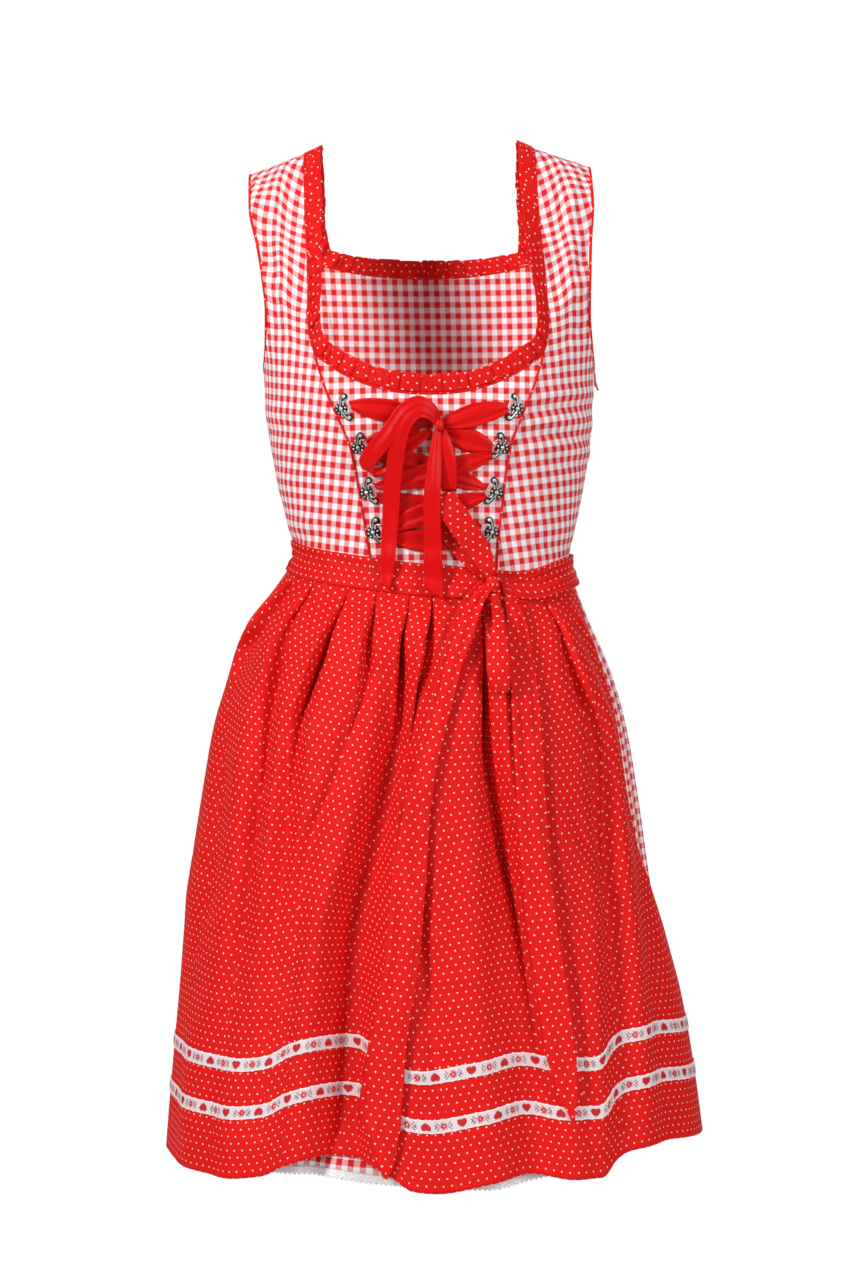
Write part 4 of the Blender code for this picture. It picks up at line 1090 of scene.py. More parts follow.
# waves are the long gathers of each half, fine the small ones below the waist seam
skirt = {
    "front": {"waves": 13, "columns": 156, "start": -90.0, "fine": 41},
    "back": {"waves": 20, "columns": 260, "start": 90.0, "fine": 63},
    "rows": 92,
    "rowCrowding": 1.15,
    "wall": 1.2,
    "sideGap": 0.15,
    "aboveWaist": 0.8,
    "crowding": 0.008,
    "smallHigh": 1.0,
    "smallFade": 70.0,
    "smallDrift": (2.2, 0.012),
    "smallFrom": 0.35,
    "smallFull": 22.0,
    "uneven": (0.75, 0.3, 0.2),
    "sharper": 0.16,
    "lift": 0.6,
    "liftOver": (10, 40),
    "pressedIn": 19.0,
    "flattened": 0.7,
    "slack": 1.02,
    "fullness": 1.05,
}
# where the apron presses the skirt in: angles along its right and left edge, distances below the waist and
# below the shoulders, each from where it starts to where it is full or over
pressing = {"right": (-86, -72), "left": (44, 60), "waist": (6, 30), "hem": (860, 930)}
# pitch of the loops, width and how much deeper a loop is
hemLace = {"scallop": 4.4, "width": 5.6, "deeper": 2.6, "step": 0.88, "gap": 0.3, "wall": 0.8}
# how high the gathers stand at each height
gatherSizes = table(
    "height front back",
    (-375, 0.5, 0.7),
    (-410, 1.5, 2.6),
    (-520, 2.0, 5.0),
    (-700, 2.2, 7.5),
    (-910, 2.6, 9.0),
)
skirtHem = table(
    "angle height",
    (-180, -904),
    (-90, -898),
    (-55, -901),
    (-38, -905),
    (-25, -905),
    (-8, -912),
    (8, -916),
    (20, -907),
    (40, -890),
    (65, -880),
    (90, -880),
    (130, -893),
    (180, -904),
)


def pressed(angle, height):
    # 1 where the apron lies over the skirt and presses it in, 0 beside it and towards the hem
    across = rise(angle, *pressing["right"]) * (1 - rise(angle, *pressing["left"]))
    down = across * rise(waist(angle) - height, *pressing["waist"])
    return down * (1 - rise(-height, *pressing["hem"]))


def makeSkirt():
    # long gathers as sine waves round the skirt, with small ones that fade out below the waist seam
    for half in ("front", "back"):
        gather = skirt[half]
        share = np.linspace(0, 1, gather["columns"] + 1)
        crowd = skirt["crowding"] * (np.sin(6 * np.pi * share) + 0.6 * np.sin(14 * np.pi * share))
        angles = turned(gather["start"] + skirt["sideGap"] + (180 - 2 * skirt["sideGap"]) * (share + crowd))
        if half == "back":
            angles = np.where(angles == -180, 180.0, angles)
        top, hem = waist(angles) + skirt["aboveWaist"], through(skirtHem["angle"], skirtHem["height"], angles)
        height = top + (hem - top) * np.linspace(1, 0, skirt["rows"])[:, None] ** skirt["rowCrowding"]
        mean, slow, quick = skirt["uneven"]
        uneven = mean + slow * np.sin(7.3 * share * np.pi + 0.6) + quick * np.sin(17.9 * share * np.pi)
        turn = 2 * np.pi * gather["waves"] * share
        shape = np.sin(turn) + skirt["sharper"] * np.cos(2 * turn)
        wave = section(gatherSizes, half, height) * uneven * shape
        below = top - height
        drift, slant = skirt["smallDrift"]
        crossing = 2 * np.pi * gather["fine"] * share + drift * np.sin(11 * share) + slant * below
        grown = skirt["smallFrom"] + rise(below, 0, skirt["smallFull"])
        small = skirt["smallHigh"] * np.exp(-below / skirt["smallFade"]) * grown
        flat = pressed(angles, height)
        lift = skirt["wall"] + skirt["lift"] * rise(below, *skirt["liftOver"])
        gathers = (wave + small * np.sin(crossing)) * (1 - skirt["flattened"] * flat)
        stand = lift + gathers - skirt["pressedIn"] * flat
        grid = skirtSurface(angles + 0 * height, height, stand)
        full = runLength(grid[0])[-1] * skirt["slack"]
        u = (share + crowd) * full + 0 * height
        item = gridPiece(f"skirt{half.title()}", grid, "gingham", (u, u, -below), skirt["wall"])
        cutSheet(item, [grid], parts=[makeHemLace(half, grid[0])])


def makeHemLace(half, edge):
    # a strip below the hem whose width follows a sine's loops, one to each scallop
    length = runLength(edge)
    at = np.linspace(0, length[-1], int(length[-1] / hemLace["step"]) + 1)
    drop = hemLace["width"] + hemLace["deeper"] * np.abs(np.sin(np.pi * at / hemLace["scallop"])) ** 0.7
    step = np.linspace(1, 0, 5)[:, None]
    grid = readLine(edge, length, at) - np.stack([0 * drop, 0 * drop, drop], -1) * step[..., None]
    grid[..., 2] -= hemLace["gap"]
    u = at + 0 * step
    return gridPiece(f"hemLace{half.title()}", grid, "lace", (u, u, drop * (1 - step)), hemLace["wall"])


makeSkirt()
print("skirt made")


apron = {"wall": 1.1, "rows": 156, "perPanel": 26, "tuck": 5.0, "fullness": 1.15}
apron |= {"hem": -905.0, "top": -405.0}
# how the cloth stands off the skirt: its puff under the band, and how much closer it lies at its left edge
apron |= {"puff": (1.5, 4.5), "puffFade": (470, 640), "closer": 5.0, "closerFade": (560, 660), "seam": 2.9}
# the heights over which the soft valleys and their lower form come in, the distances below the seam over
# which puff, folds and loose form do, and how far the sheet keeps off the skirt's face
apron |= {"soft": (430, 600), "lower": (600, 905), "puffOver": (0, 34), "foldsOver": (2, 28)}
apron |= {"looseOver": (-3, 7), "face": (2.2, 1.2), "gathers": 1.25, "blend": 2.0, "pressedOn": 0.6}
# where each valley between two pleats runs in the front view: x at each height
valleyPaths = table(
    "height first second third fourth fifth sixth seventh eighth ninth tenth",
    (-380, -116, -99, -68, -42, -17, 6, 45, 72, 96, 112),
    (-405, -133, -111, -77, -51, -21, 0, 46, 76, 106, 122),
    (-430, -152, -125, -87, -55, -25, -3, 48, 84, 116, 136),
    (-455, -166, -134, -97, -58, -28, -6, 51, 88, 124, 150),
    (-486, -173, -141, -108, -61, -31, -12, 53, 92, 136, 163),
    (-518, -177, -144, -117, -68, -34, -16, 55, 94, 148, 172),
    (-563, -181, -147, -121, -80, -42, -20, 60, 96, 154, 178),
    (-614, -186, -152, -124, -100, -55, -22, 69, 100, 156, 182),
    (-700, -199, -160, -130, -112, -74, -10, 84, 108, 158, 190),
    (-905, -226, -186, -140, -118, -80, 22, 100, 134, 162, 206),
)
# how far each spreads at mid height and at the hem, how deep it is there, how sharp its fold is under the
# band and the height at which that sharp fold ends
valleySizes = table(
    "middleSpread hemSpread middleDepth hemDepth knife knifeEnd",
    (9, 15, 6, 5, 1.0, -520),
    (9, 15, 9, 6, 1.1, -600),
    (10, 18, 9, 7, 1.1, -600),
    (9, 16, 7, 4, 0.9, -540),
    (14, 18, 22, 28, 1.2, -640),
    (9, 14, 8, 5, 1.0, -540),
    (9, 14, 18, 14, 1.5, -760),
    (8, 14, 3, 4, 0.5, -480),
    (9, 16, 14, 8, 1.3, -660),
    (8, 14, 5, 6, 0.5, -520),
)
# under the band: how deep a knife pleat is, how wide its opening is and how soft its far side, by share of
# its length
knifeSizes = table(
    "share deep open soft",
    (0.0, 3.0, 1.0, 0.8),
    (0.1, 8.5, 3.0, 0.8),
    (0.25, 14.0, 7.0, 1.2),
    (0.4, 14.5, 10.0, 1.8),
    (0.6, 10.0, 12.0, 3.6),
    (0.8, 5.0, 14.0, 6.0),
    (1.0, 0.0, 15.0, 8.0),
)
apronHem = table(
    "x height",
    (-250, -905),
    (-214, -914),
    (-170, -918),
    (-140, -914),
    (-118, -903),
    (-92, -895),
    (-60, -897),
    (-34, -906),
    (-12, -921),
    (12, -923),
    (50, -915),
    (82, -909),
    (120, -914),
    (142, -914),
    (156, -901),
    (172, -893),
    (204, -889),
    (256, -893),
)
apronEdges = table(
    "height right left outSide outFront",
    (-405, -89, 77, 3.4, 3.6),
    (-440, -93, 71.5, 6.0, 8),
    (-479, -95, 69, 6.5, 10),
    (-520, -96, 68, 7.0, 12),
    (-563, -96.5, 67.5, 7.5, 14),
    (-600, -97, 68.5, 8.0, 15.5),
    (-630, -97.5, 71, 8.0, 17),
    (-660, -98, 75.5, 8.0, 19),
    (-700, -98, 81, 7.5, 21),
    (-750, -98.5, 85, 7.0, 22.8),
    (-800, -99, 87, 7.0, 24),
    (-910, -100, 91, 7.0, 26),
)
# soft folds of the apron: x and height at both ends in the front view, half width and height in mm
apronFolds = table(
    "x0 z0 x1 z1 half high",
    (-40, -480, -86, -1100, 21, -24),
    (46, -540, 100, -1100, 17, -13),
    (-141, -598, -198, -692, 6, -2.4),
    (-155, -500, -172, -640, 6, 3.0),
    (-128, -545, -138, -760, 6, 3.4),
    (-98, -470, -104, -560, 5, 2.4),
    (-44, -430, -50, -520, 5, 2.0),
    (-8, -420, -10, -500, 4, 2.0),
    (0, -520, 6, -700, 9, 3.0),
    (30, -600, 44, -860, 11, 4.0),
    (118, -594, 150, -670, 6, -3.4),
    (132, -640, 140, -880, 9, 3.4),
    (100, -430, 112, -500, 6, 2.6),
    (168, -620, 178, -860, 8, 2.8),
    (-200, -700, -214, -880, 9, 3.0),
    (-170, -720, -176, -890, 8, 2.6),
    (-150, -700, -154, -880, 8, -2.6),
    (60, -720, 68, -880, 8, 2.4),
    (-206, -640, -170, -668, 5, -1.2),
    (-190, -762, -130, -776, 6, 1.1),
    (-130, -700, -100, -730, 6, 1.1),
    (-30, -690, 10, -706, 5, 0.9),
    (10, -742, 60, -728, 6, 1.0),
    (-20, -800, 30, -812, 6, -0.9),
    (110, -700, 150, -716, 6, 1.0),
    (150, -760, 196, -750, 6, -1.0),
    (-190, -880, -120, -886, 7, 1.0),
    (-60, -850, -10, -856, 6, -0.8),
    (20, -880, 70, -872, 7, 0.9),
    (130, -850, 190, -870, 7, 1.0),
)


def valleyDepth(angle, height):
    # lower down each valley is a soft trough. Under the band it is a knife pleat: the outer panel's edge
    # overlaps, and the trough beside it shallows towards the middle
    here = skirtPoint(angle, height)[..., 0]
    sunk = np.zeros(here.shape)
    soft, lower = rise(-height, *apron["soft"]), rise(-height, *apron["lower"])
    bandEdge, middle = waist(angle) - form["bandWidth"] / 2, 20.0
    for number, key in enumerate(list(valleyPaths)[1:]):
        size = {name: column[number] for name, column in valleySizes.items()}
        spread = size["middleSpread"] + (size["hemSpread"] - size["middleSpread"]) * lower
        depth = size["middleDepth"] + (size["hemDepth"] - size["middleDepth"]) * lower
        away = (here - section(valleyPaths, key, height)) * np.sign(valleyPaths[key][5] - middle)
        steep, gentle = spread * (0.5 + 0.4 * lower), spread * (1.2 - 0.2 * lower)
        shape = np.exp(-((away / np.where(away > 0, steep, gentle)) ** 2))
        edge = 0.14 * np.exp(-(((away - 2.0 * steep) / (1.1 * steep)) ** 2))
        sunk = sunk + soft * depth * (shape - edge)
        share = np.clip((bandEdge - height) / (-400 - size["knifeEnd"]), 0, 1)
        names = ("deep", "open", "soft")
        deep, wide, soften = (through(knifeSizes["share"], knifeSizes[name], share) for name in names)
        step = 1 - rise(away, -1.2, 0.2)
        trough = step / (1 + np.exp(np.clip((-away - wide) / soften, -30, 30)))
        roll = 0.3 * (1 - step) * np.exp(-np.maximum(away, 0) / 8.0)
        sunk = sunk + size["knife"] * deep * (trough - roll)
    return sunk


def apronOut(angle, height):
    # how far the inner face stands off the skirt's sections: the loose form less its valleys, and never
    # below the skirt's own face, to which it blends smoothly
    side, front = section(apronEdges, "outSide", height), section(apronEdges, "outFront", height)
    facing = np.clip(np.cos(np.radians(angle)), 0, 1) ** 1.3
    under = waist(angle) - form["bandWidth"] / 2 - height
    low, high = apron["puff"]
    puff = (low + high * facing) * rise(under, *apron["puffOver"])
    puff = puff * (1 - rise(-height, *apron["puffFade"]))
    folds = foldHeight(skirtSurface(angle, height), apronFolds) * rise(under, *apron["foldsOver"])
    # towards its left edge the panel lies closer on the skirt
    fromEdge = section(apronEdges, "left", height) - angle
    closeness = (1 - rise(fromEdge, 0, 12)) * (1 - rise(-height, *apron["closerFade"]))
    loose = side + (front - side) * facing + puff - valleyDepth(angle, height) + folds
    loose = loose - apron["closer"] * closeness
    tucked = rise(under, *apron["looseOver"])
    flat = pressed(angle, height)
    gathers = section(gatherSizes, "front", height) * apron["gathers"] * (1 - skirt["flattened"] * flat)
    upper, lower = apron["face"]
    face = upper + lower * rise(waist(angle) - height, *skirt["liftOver"])
    least = face + gathers * tucked - skirt["pressedIn"] * flat
    above = loose * tucked + apron["seam"] * (1 - tucked) - least
    return least + 0.5 * (above + np.sqrt(above**2 + apron["blend"])) - apron["pressedOn"]


# nine of the valleys part the apron into ten pleat panels
valleyKeys = list(valleyPaths)[1:10]


def apronSpread(height):
    # angles across the apron at each height, crowded where one pleat panel meets the next.
    # Also gives each column's panel from the right and from the left
    left, right = section(apronEdges, "left", height), section(apronEdges, "right", height)
    valleys = [sectionAngle(skirtSections, section(valleyPaths, key, height), height) for key in valleyKeys]
    lines = np.array([right, *(np.clip(valley, right + 1.0, left - 1.0) for valley in valleys), left])
    even = np.linspace(0, 1, apron["perPanel"] + 1)[:-1]
    share = 0.3 * even + 0.35 * (1 - np.cos(np.pi * even))
    panels = len(valleyKeys) + 1
    angles = [lines[k] + (lines[k + 1] - lines[k]) * part for k in range(panels) for part in share]
    angles.append(lines[-1])
    columns = np.arange(len(angles))
    fromRight = np.minimum(columns // apron["perPanel"], panels - 1)
    fromLeft = np.minimum(np.maximum(columns - 1, 0) // apron["perPanel"], panels - 1)
    return np.array(angles), fromRight, fromLeft


def apronOuter(angle, height, above=0.0):
    # the outer face: one wall outwards from the inner one
    inner = skirtSurface(angle, height, apronOut(angle, height))
    return inner + outward(inner) * (apron["wall"] + above)


def hemHeight(angle):
    # the apron's uneven lower edge, read by x in the front view
    return through(apronHem["x"], apronHem["height"], skirtPoint(angle, apron["hem"])[..., 0])


def apronGrid(low=None, high=None, rows=None):
    # heights run from the hem to the waistband, or between two distances above the hem
    hemAngles, fromRight, fromLeft = apronSpread(np.array(apron["hem"]))
    topAngles = apronSpread(np.array(apron["top"]))[0]
    hem = hemHeight(hemAngles)
    top = waist(topAngles) - form["bandWidth"] / 2 + apron["tuck"]
    if low is None:
        low, high, rows = 0.0, top - hem, apron["rows"]
    height = hem + low + (high - low) * np.linspace(0, 1, rows)[:, None]
    angle = np.stack([apronSpread(height[:, column])[0][column] for column in range(height.shape[1])], 1)
    return angle, height, fromRight, fromLeft


def panelUv(points, fromRight, fromLeft):
    # each pleat panel keeps its own straight grain: u from its middle line, which leans with it, and v up
    # that line. The hidden cloth between two panels shrinks to nothing at the hem
    arc = runAcross(points)
    size, panels = apron["perPanel"], len(valleyKeys) + 1
    middles = (arc[:, 0:-1:size] + arc[:, size::size]) / 2
    centres = middles[:1]
    line = points[:, size // 2 :: size][:, :panels]
    up = runUp(line)
    slope = np.gradient(line[..., 0], axis=0) / np.maximum(np.abs(np.gradient(line[..., 2], axis=0)), 1e-3)
    kernel = np.hanning(25) / np.hanning(25).sum()
    slope = np.stack([np.convolve(np.pad(column, 12, "edge"), kernel, "valid") for column in slope.T], 1)
    lean = np.arctan(slope) * rise(np.arange(len(points)) / len(points), 0.22, 0.5)[:, None]
    sides = []
    for panel in (fromRight, fromLeft):
        away, tilt = arc - middles[:, panel], lean[:, panel]
        sides.append((centres[:, panel] + away * np.cos(tilt), up[:, panel] + away * np.sin(tilt)))
    return sides


def makeApron():
    # ten pleat panels in one sheet, from the hem up to under the band
    angle, height, fromRight, fromLeft = apronGrid()
    points = apronOuter(angle, height)
    (uLeft, vLeft), (uRight, vRight) = panelUv(points, fromRight, fromLeft)
    return gridPiece("apronPanel", points, "dotted", (uLeft, uRight, vLeft, vRight), apron["wall"]), points


apronPanel, apronPoints = makeApron()
print("apron made")


# width and pitch of the woven motif, size of the cells, loops of thread, places above the hem and colours
trim = {"width": 11.2, "pitch": 16.5, "cellUp": 0.7, "cellAcross": 0.72, "picot": 10.4, "picotHigh": 0.75}
trim |= {"rows": 9, "selvedge": 0.75, "out": 1.1, "wall": 0.8, "upper": 105.0, "lower": 63.0}
trim |= {"ground": "ECD5D9", "red": "C4121C", "pale": "DE7478", "leaf": "76827A", "edge": "FBF3F3"}
trim |= {"leafSize": (2.2, 0.6), "petal": (3.2, 0.7), "eye": 1.5, "eyeCentre": 0.6, "heart": (3.9, 3.3)}
# where each leaf of a sprig lies beside the flower, and how it leans
trimLeaves = (5.2, 1.9, 0.75), (5.4, -1.9, -0.75), (7.3, 0.9, 0.5), (7.3, -0.9, -0.5)


def trimColours(u, v):
    # motif in mm: a heart, a flower with sprigs on each side, the heart upside down, a flower again
    names = ("ground", "red", "pale", "leaf", "edge")
    ground, red, pale, leaf, edge = (np.array(linear(trim[name])) for name in names)
    colour = np.broadcast_to(ground, (*u.shape, 4)).copy()
    y = v - trim["width"] / 2
    number = np.floor(u / trim["pitch"])
    x = u - (number + 0.5) * trim["pitch"]
    even = np.mod(number, 2) == 0
    upright = np.where(np.mod(number, 4) == 0, 1, -1)
    # a sprig each side of the flower: a stalk and three slim leaves that point away from it
    leafLong, leafWide = trim["leafSize"]
    for side in (1, -1):
        for startX, startY, lean in trimLeaves:
            a, b = side * x - startX, y - startY
            along = a * math.cos(lean) + b * math.sin(lean)
            off = -a * math.sin(lean) + b * math.cos(lean)
            colour[~even & ((along / leafLong) ** 2 + (off / leafWide) ** 2 < 1)] = leaf
    # the flower: nine petals round an open eye
    away, turn = np.hypot(x, y), np.arctan2(y, x)
    petals = trim["petal"][0] + trim["petal"][1] * np.cos(9 * turn)
    colour[~even & (away < petals)] = pale
    colour[~even & (away < petals) & (np.cos(9 * turn) < 0.25)] = red
    colour[~even & (away < trim["eye"])] = red
    colour[~even & (away < trim["eyeCentre"])] = ground
    # the heart: where the cube of x squared plus y squared less 1 is under x squared times y cubed
    across, up = x / trim["heart"][0], (y * upright + 0.5) / trim["heart"][1]
    colour[even & ((across**2 + up**2 - 1) ** 3 - across**2 * up**3 < 0)] = red
    # woven selvedges
    colour[np.abs(y) > trim["width"] / 2 - trim["selvedge"]] = edge
    return colour


def makeTrim(which):
    # a band of the apron's own surface lifted off it, in fine cells, with loops of thread along both edges
    last = trim["rows"] - 1
    angle, height = apronGrid(trim[which] - trim["width"], trim[which], trim["rows"])[:2]
    coarse = apronOuter(angle, height, trim["out"])
    across = runLength(coarse[last // 2])
    at = np.linspace(0, across[-1], int(across[-1] / trim["cellAcross"]) + 1)
    up = np.linspace(0, last, int(trim["width"] / trim["cellUp"]) + 1)
    fine = np.stack([readLine(row, across, at) for row in coarse])
    below = np.clip(up.astype(int), 0, last - 1)
    share = (up - below)[:, None, None]
    points = fine[below] * (1 - share) + fine[below + 1] * share
    aside = (np.mod(at, trim["picot"]) - trim["picot"] / 2) / 0.8
    loops = trim["picotHigh"] * np.exp(-(aside**2)) + 0.2 * (np.arange(len(at)) % 2)
    points[0, :, 2] -= loops
    points[-1, :, 2] += loops
    u = at + 0 * up[:, None]
    v = (up / last * trim["width"])[:, None] + 0 * at
    colours = trimColours((u[:-1, :-1] + u[1:, 1:]) / 2, (v[:-1, :-1] + v[1:, 1:]) / 2)
    name, uv = f"apronTrim{which.title()}", (u, u, v)
    return gridPiece(name, points, "jacquard", uv, trim["wall"], colours=colours)


trims = [makeTrim(which) for which in ("upper", "lower")]
cutSheet(apronPanel, [apronPoints], trims)
print("trims made")


# from and to are angles round the waist, lower the room for the apron tucked in below the seam, rise how far
# above the band a ribbon starts to climb over it; side and narrows: angles where the strap comes off the side
# and where it starts to narrow, half: its half width as a share of the band's
band = {"out": 1.7, "lower": 2.5, "wall": 1.2, "from": -90.0, "to": 74.0, "wrinkle": 0.35, "edge": 0.5}
band |= {"rise": 18.0, "columns": 260, "rows": 25, "edgeFrom": 0.93, "dotStart": 2.2}
strap = {"from": 268.0, "to": 25.0, "wall": 1.2, "front": 2.0, "back": 0.5, "off": 1.2, "width": 26.0}
strap |= {"columns": 330, "rows": 25, "half": 0.45, "side": 96, "sideRun": 18, "narrows": 74, "narrowRun": 49}
strap |= {"folds": 3.0, "soft": 0.4, "overBand": 2.1, "overFrom": 50.0, "overRun": 12.0}


def bandPoint(angle, height, out):
    # on the bodice above the waist seam and on the skirt below it
    upper, lower = bodicePoint(angle, height, out), skirtSurface(angle, height, out)
    return np.where((height >= waist(angle))[..., None], upper, lower)


def bandOut(angle, height):
    # inner face of the band: close on the bodice, further out where the apron is tucked under it
    return band["out"] + band["lower"] * rise(waist(angle) - height, -8, 6)


def makeWaistband():
    # a flat band with a few slanting drag folds, thinner at its two turned edges
    angles = np.linspace(band["from"], band["to"], band["columns"])[None]
    part = np.linspace(-0.5, 0.5, band["rows"])[:, None]
    height = waist(angles) + part * form["bandWidth"]
    slant = angles * 0.9 + part * 26.0
    here = rise(np.abs(np.sin(angles / 23.0 + 0.4)), 0.25, 0.8)
    wrinkle = band["wrinkle"] * np.sin(slant / 3.1 + 1.4 * np.sin(angles / 9.0)) * here
    wrinkle = wrinkle * (1 - (2 * part) ** 6) - band["edge"] * (np.abs(2 * part) > band["edgeFrom"])
    points = bandPoint(angles + 0 * part, height, bandOut(angles, height) + band["wall"] + wrinkle)
    item = gridPiece("apronWaistband", points, "dotted", lengthUv(points, band["dotStart"]), band["wall"])
    cutSheet(item, [points])


def makeTieStrap():
    # three long folds gather it towards the knot; flatter round the back
    angles = np.linspace(strap["to"], strap["from"], strap["columns"])[::-1]
    around = turned(angles)[None]
    front = ((around > 0) & (around < strap["side"])).astype(float)
    climb = np.clip((strap["side"] - around) / strap["sideRun"], 0, 1) * front
    near = np.clip((strap["narrows"] - around) / strap["narrowRun"], 0, 1)
    part = np.linspace(-strap["half"], strap["half"], strap["rows"])[:, None]
    share = (part + strap["half"]) / (2 * strap["half"])
    narrow = 1 - 0.5 * climb * near**3
    height = waist(around) - 1.5 * climb * near + part * form["bandWidth"] * narrow
    out = bandOut(around, height) + strap["back"] + (strap["front"] - strap["back"]) * climb
    phase = strap["folds"] * share + 0.25 * np.sin(around / 17.0)
    folds = (0.35 + 0.75 * climb) * np.cos(2 * np.pi * phase)
    soft = strap["soft"] * np.sin(around / 5.0 + 5.0 * share) * (1 - climb)
    points = bandPoint(around + 0 * part, height, out + strap["off"] + 0.5 * folds + soft)
    u = lengthUv(points)[0]
    v = share * strap["width"] * narrow + 0 * u
    item = gridPiece("apronTieStrap", points, "dotted", (u, u, v), strap["wall"])
    cutSheet(item, [points])


makeWaistband()
makeTieStrap()


noCloth = 50.0  # a y behind all the cloth of the front


def nearestFront(points):
    # foremost y of the apron on a lattice of x and height, spread a little sideways and smoothed
    x0, z0, cell, reach = -280.0, -970.0, 2.0, 4
    columns, rows = int(560 / cell), int(600 / cell)
    cells = np.full((rows, columns), noCloth)
    visible = points.reshape(-1, 3)
    visible = visible[visible[:, 1] < 0]
    i = np.clip(((visible[:, 2] - z0) / cell).astype(int), 0, rows - 1)
    j = np.clip(((visible[:, 0] - x0) / cell).astype(int), 0, columns - 1)
    np.minimum.at(cells, (i, j), visible[:, 1])
    for axis, far in ((1, reach), (0, 2)):
        cells = np.min([np.roll(cells, shift, axis) for shift in range(-far, far + 1)], 0)
    for axis in (0, 0, 1, 1):
        cells = (np.roll(cells, 1, axis) + 2 * cells + np.roll(cells, -1, axis)) / 4

    def read(x, z):
        # y at a place in the front view
        row = np.clip((z - z0) / cell - 0.5, 0, rows - 1.001)
        column = np.clip((x - x0) / cell - 0.5, 0, columns - 1.001)
        return readGrid(cells, row, column)

    return read


apronFront = nearestFront(apronPoints)


def frontFace(x, z):
    # y of the outermost cloth at a place in the front view
    x, z = np.broadcast_arrays(np.asarray(x, float), np.asarray(z, float))
    angle = sectionAngle(bodiceSections, x, z)
    above, below = waist(angle) + form["bandWidth"] / 2, waist(angle) - form["bandWidth"] / 2
    # on the bodice above, rising to the band; a little further out where the strap lies over it
    overStrap = strap["overBand"] * np.clip((x - strap["overFrom"]) / strap["overRun"], 0, 1)
    over = band["out"] + band["lower"] + band["wall"] + overStrap
    out = form["wall"] + (over - form["wall"]) * rise(z, above + band["rise"], above)
    upper = np.where(z > below - 4, bandPoint(angle, z, out)[..., 1], noCloth)
    lower = np.where(z < below + 8, apronFront(x, np.minimum(z, below - 4)), noCloth)
    return np.minimum(upper, lower)


# how each kind of ribbon is made: step along it, points across, wall and finish
ribbonMakes = {
    "lace": {"step": 2.0, "across": 15, "wall": 0.6, "finish": "satin"},
    "bow": {"step": 2.0, "across": 13, "wall": 0.6, "finish": "satin"},
    "tie": {"step": 2.6, "across": 21, "wall": 1.0, "finish": "dotted"},
}


def laidStrip(name, kind, path, folds, flat=False, parts=()):
    # a ribbon carried along its middle line, whose lift off the cloth, half width and tilt are given in the
    # front view. folds: how many across, height, start and end share of the length, and phase of soft folds
    make = ribbonMakes[kind]
    keys = np.arange(len(path["x"]), dtype=float)
    trial = np.linspace(0, keys[-1], 400)
    xs, zs = through(keys, path["x"], trial), through(keys, path["height"], trial)
    length = np.concatenate([[0], np.cumsum(np.hypot(np.diff(xs), np.diff(zs)) + 0.02)])
    steps = max(12, int(length[-1] / make["step"]))
    at = np.interp(np.linspace(0, length[-1], steps), length, trial)
    names = ("x", "height", "lift", "half", "tilt")
    x, z, lift, half, tilt = (through(keys, path[key], at)[:, None] for key in names)
    turn = np.radians(tilt)
    share = np.linspace(-1, 1, make["across"])[None]
    spreadX, spreadZ = x + np.cos(turn) * half * share, z + np.sin(turn) * half * share
    base = frontFace(x, z) if flat else frontFace(spreadX, spreadZ)
    run = np.linspace(0, 1, steps)[:, None]
    crumple = 0.0
    for count, high, start, end, phase in folds:
        fade = rise(run, start - 0.08, start + 0.02) * (1 - rise(run, end - 0.1, end + 0.05))
        crumple = crumple + high * fade * np.cos(np.pi * count * share + phase + 2.0 * run)
    points = np.stack([spreadX, base - lift - crumple + 0 * share, spreadZ], -1)
    v = runLength(points[:, make["across"] // 2])[:, None] + 0 * share
    u = share * half + 0 * v
    item = gridPiece(name, points, make["finish"], (u, u, v), 0)
    addWall(item, make["wall"], 1)
    cutSheet(item, [points], parts)


# from hook to hook or to the knot: x and height of three points, and how far it stands off
lacings = {
    "laceTopRight": ((-71, -231), (-36, -237), (4, -247), 2.4),
    "laceTopLeft": ((71.4, -233), (42, -240), (12.8, -248), 2.4),
    "laceSecondRight": ((-56, -265), (-32, -262), (-8, -256), 1.0),
    "laceSecondLeft": ((57, -270), (35, -262), (13, -254), 1.0),
    "laceCrossUpperA": ((57, -276), (6, -292), (-48, -304), 2.6),
    "laceCrossUpperB": ((-54.5, -272), (-6, -286), (51, -305), 0.8),
    "laceCrossLowerA": ((51, -312), (4, -326), (-43, -341), 2.6),
    "laceCrossLowerB": ((-48, -312), (-2, -324), (47, -341), 0.8),
    "laceBottom": ((-43, -348), (0, -352), (47, -348), 0.8),
}
# half widths along a stretch of lacing
lacingEnds = {"narrow": 3.0, "shoulder": 7.4, "middle": 10.4, "far": 7.8, "atHook": 2.4, "atKnot": 4.2}
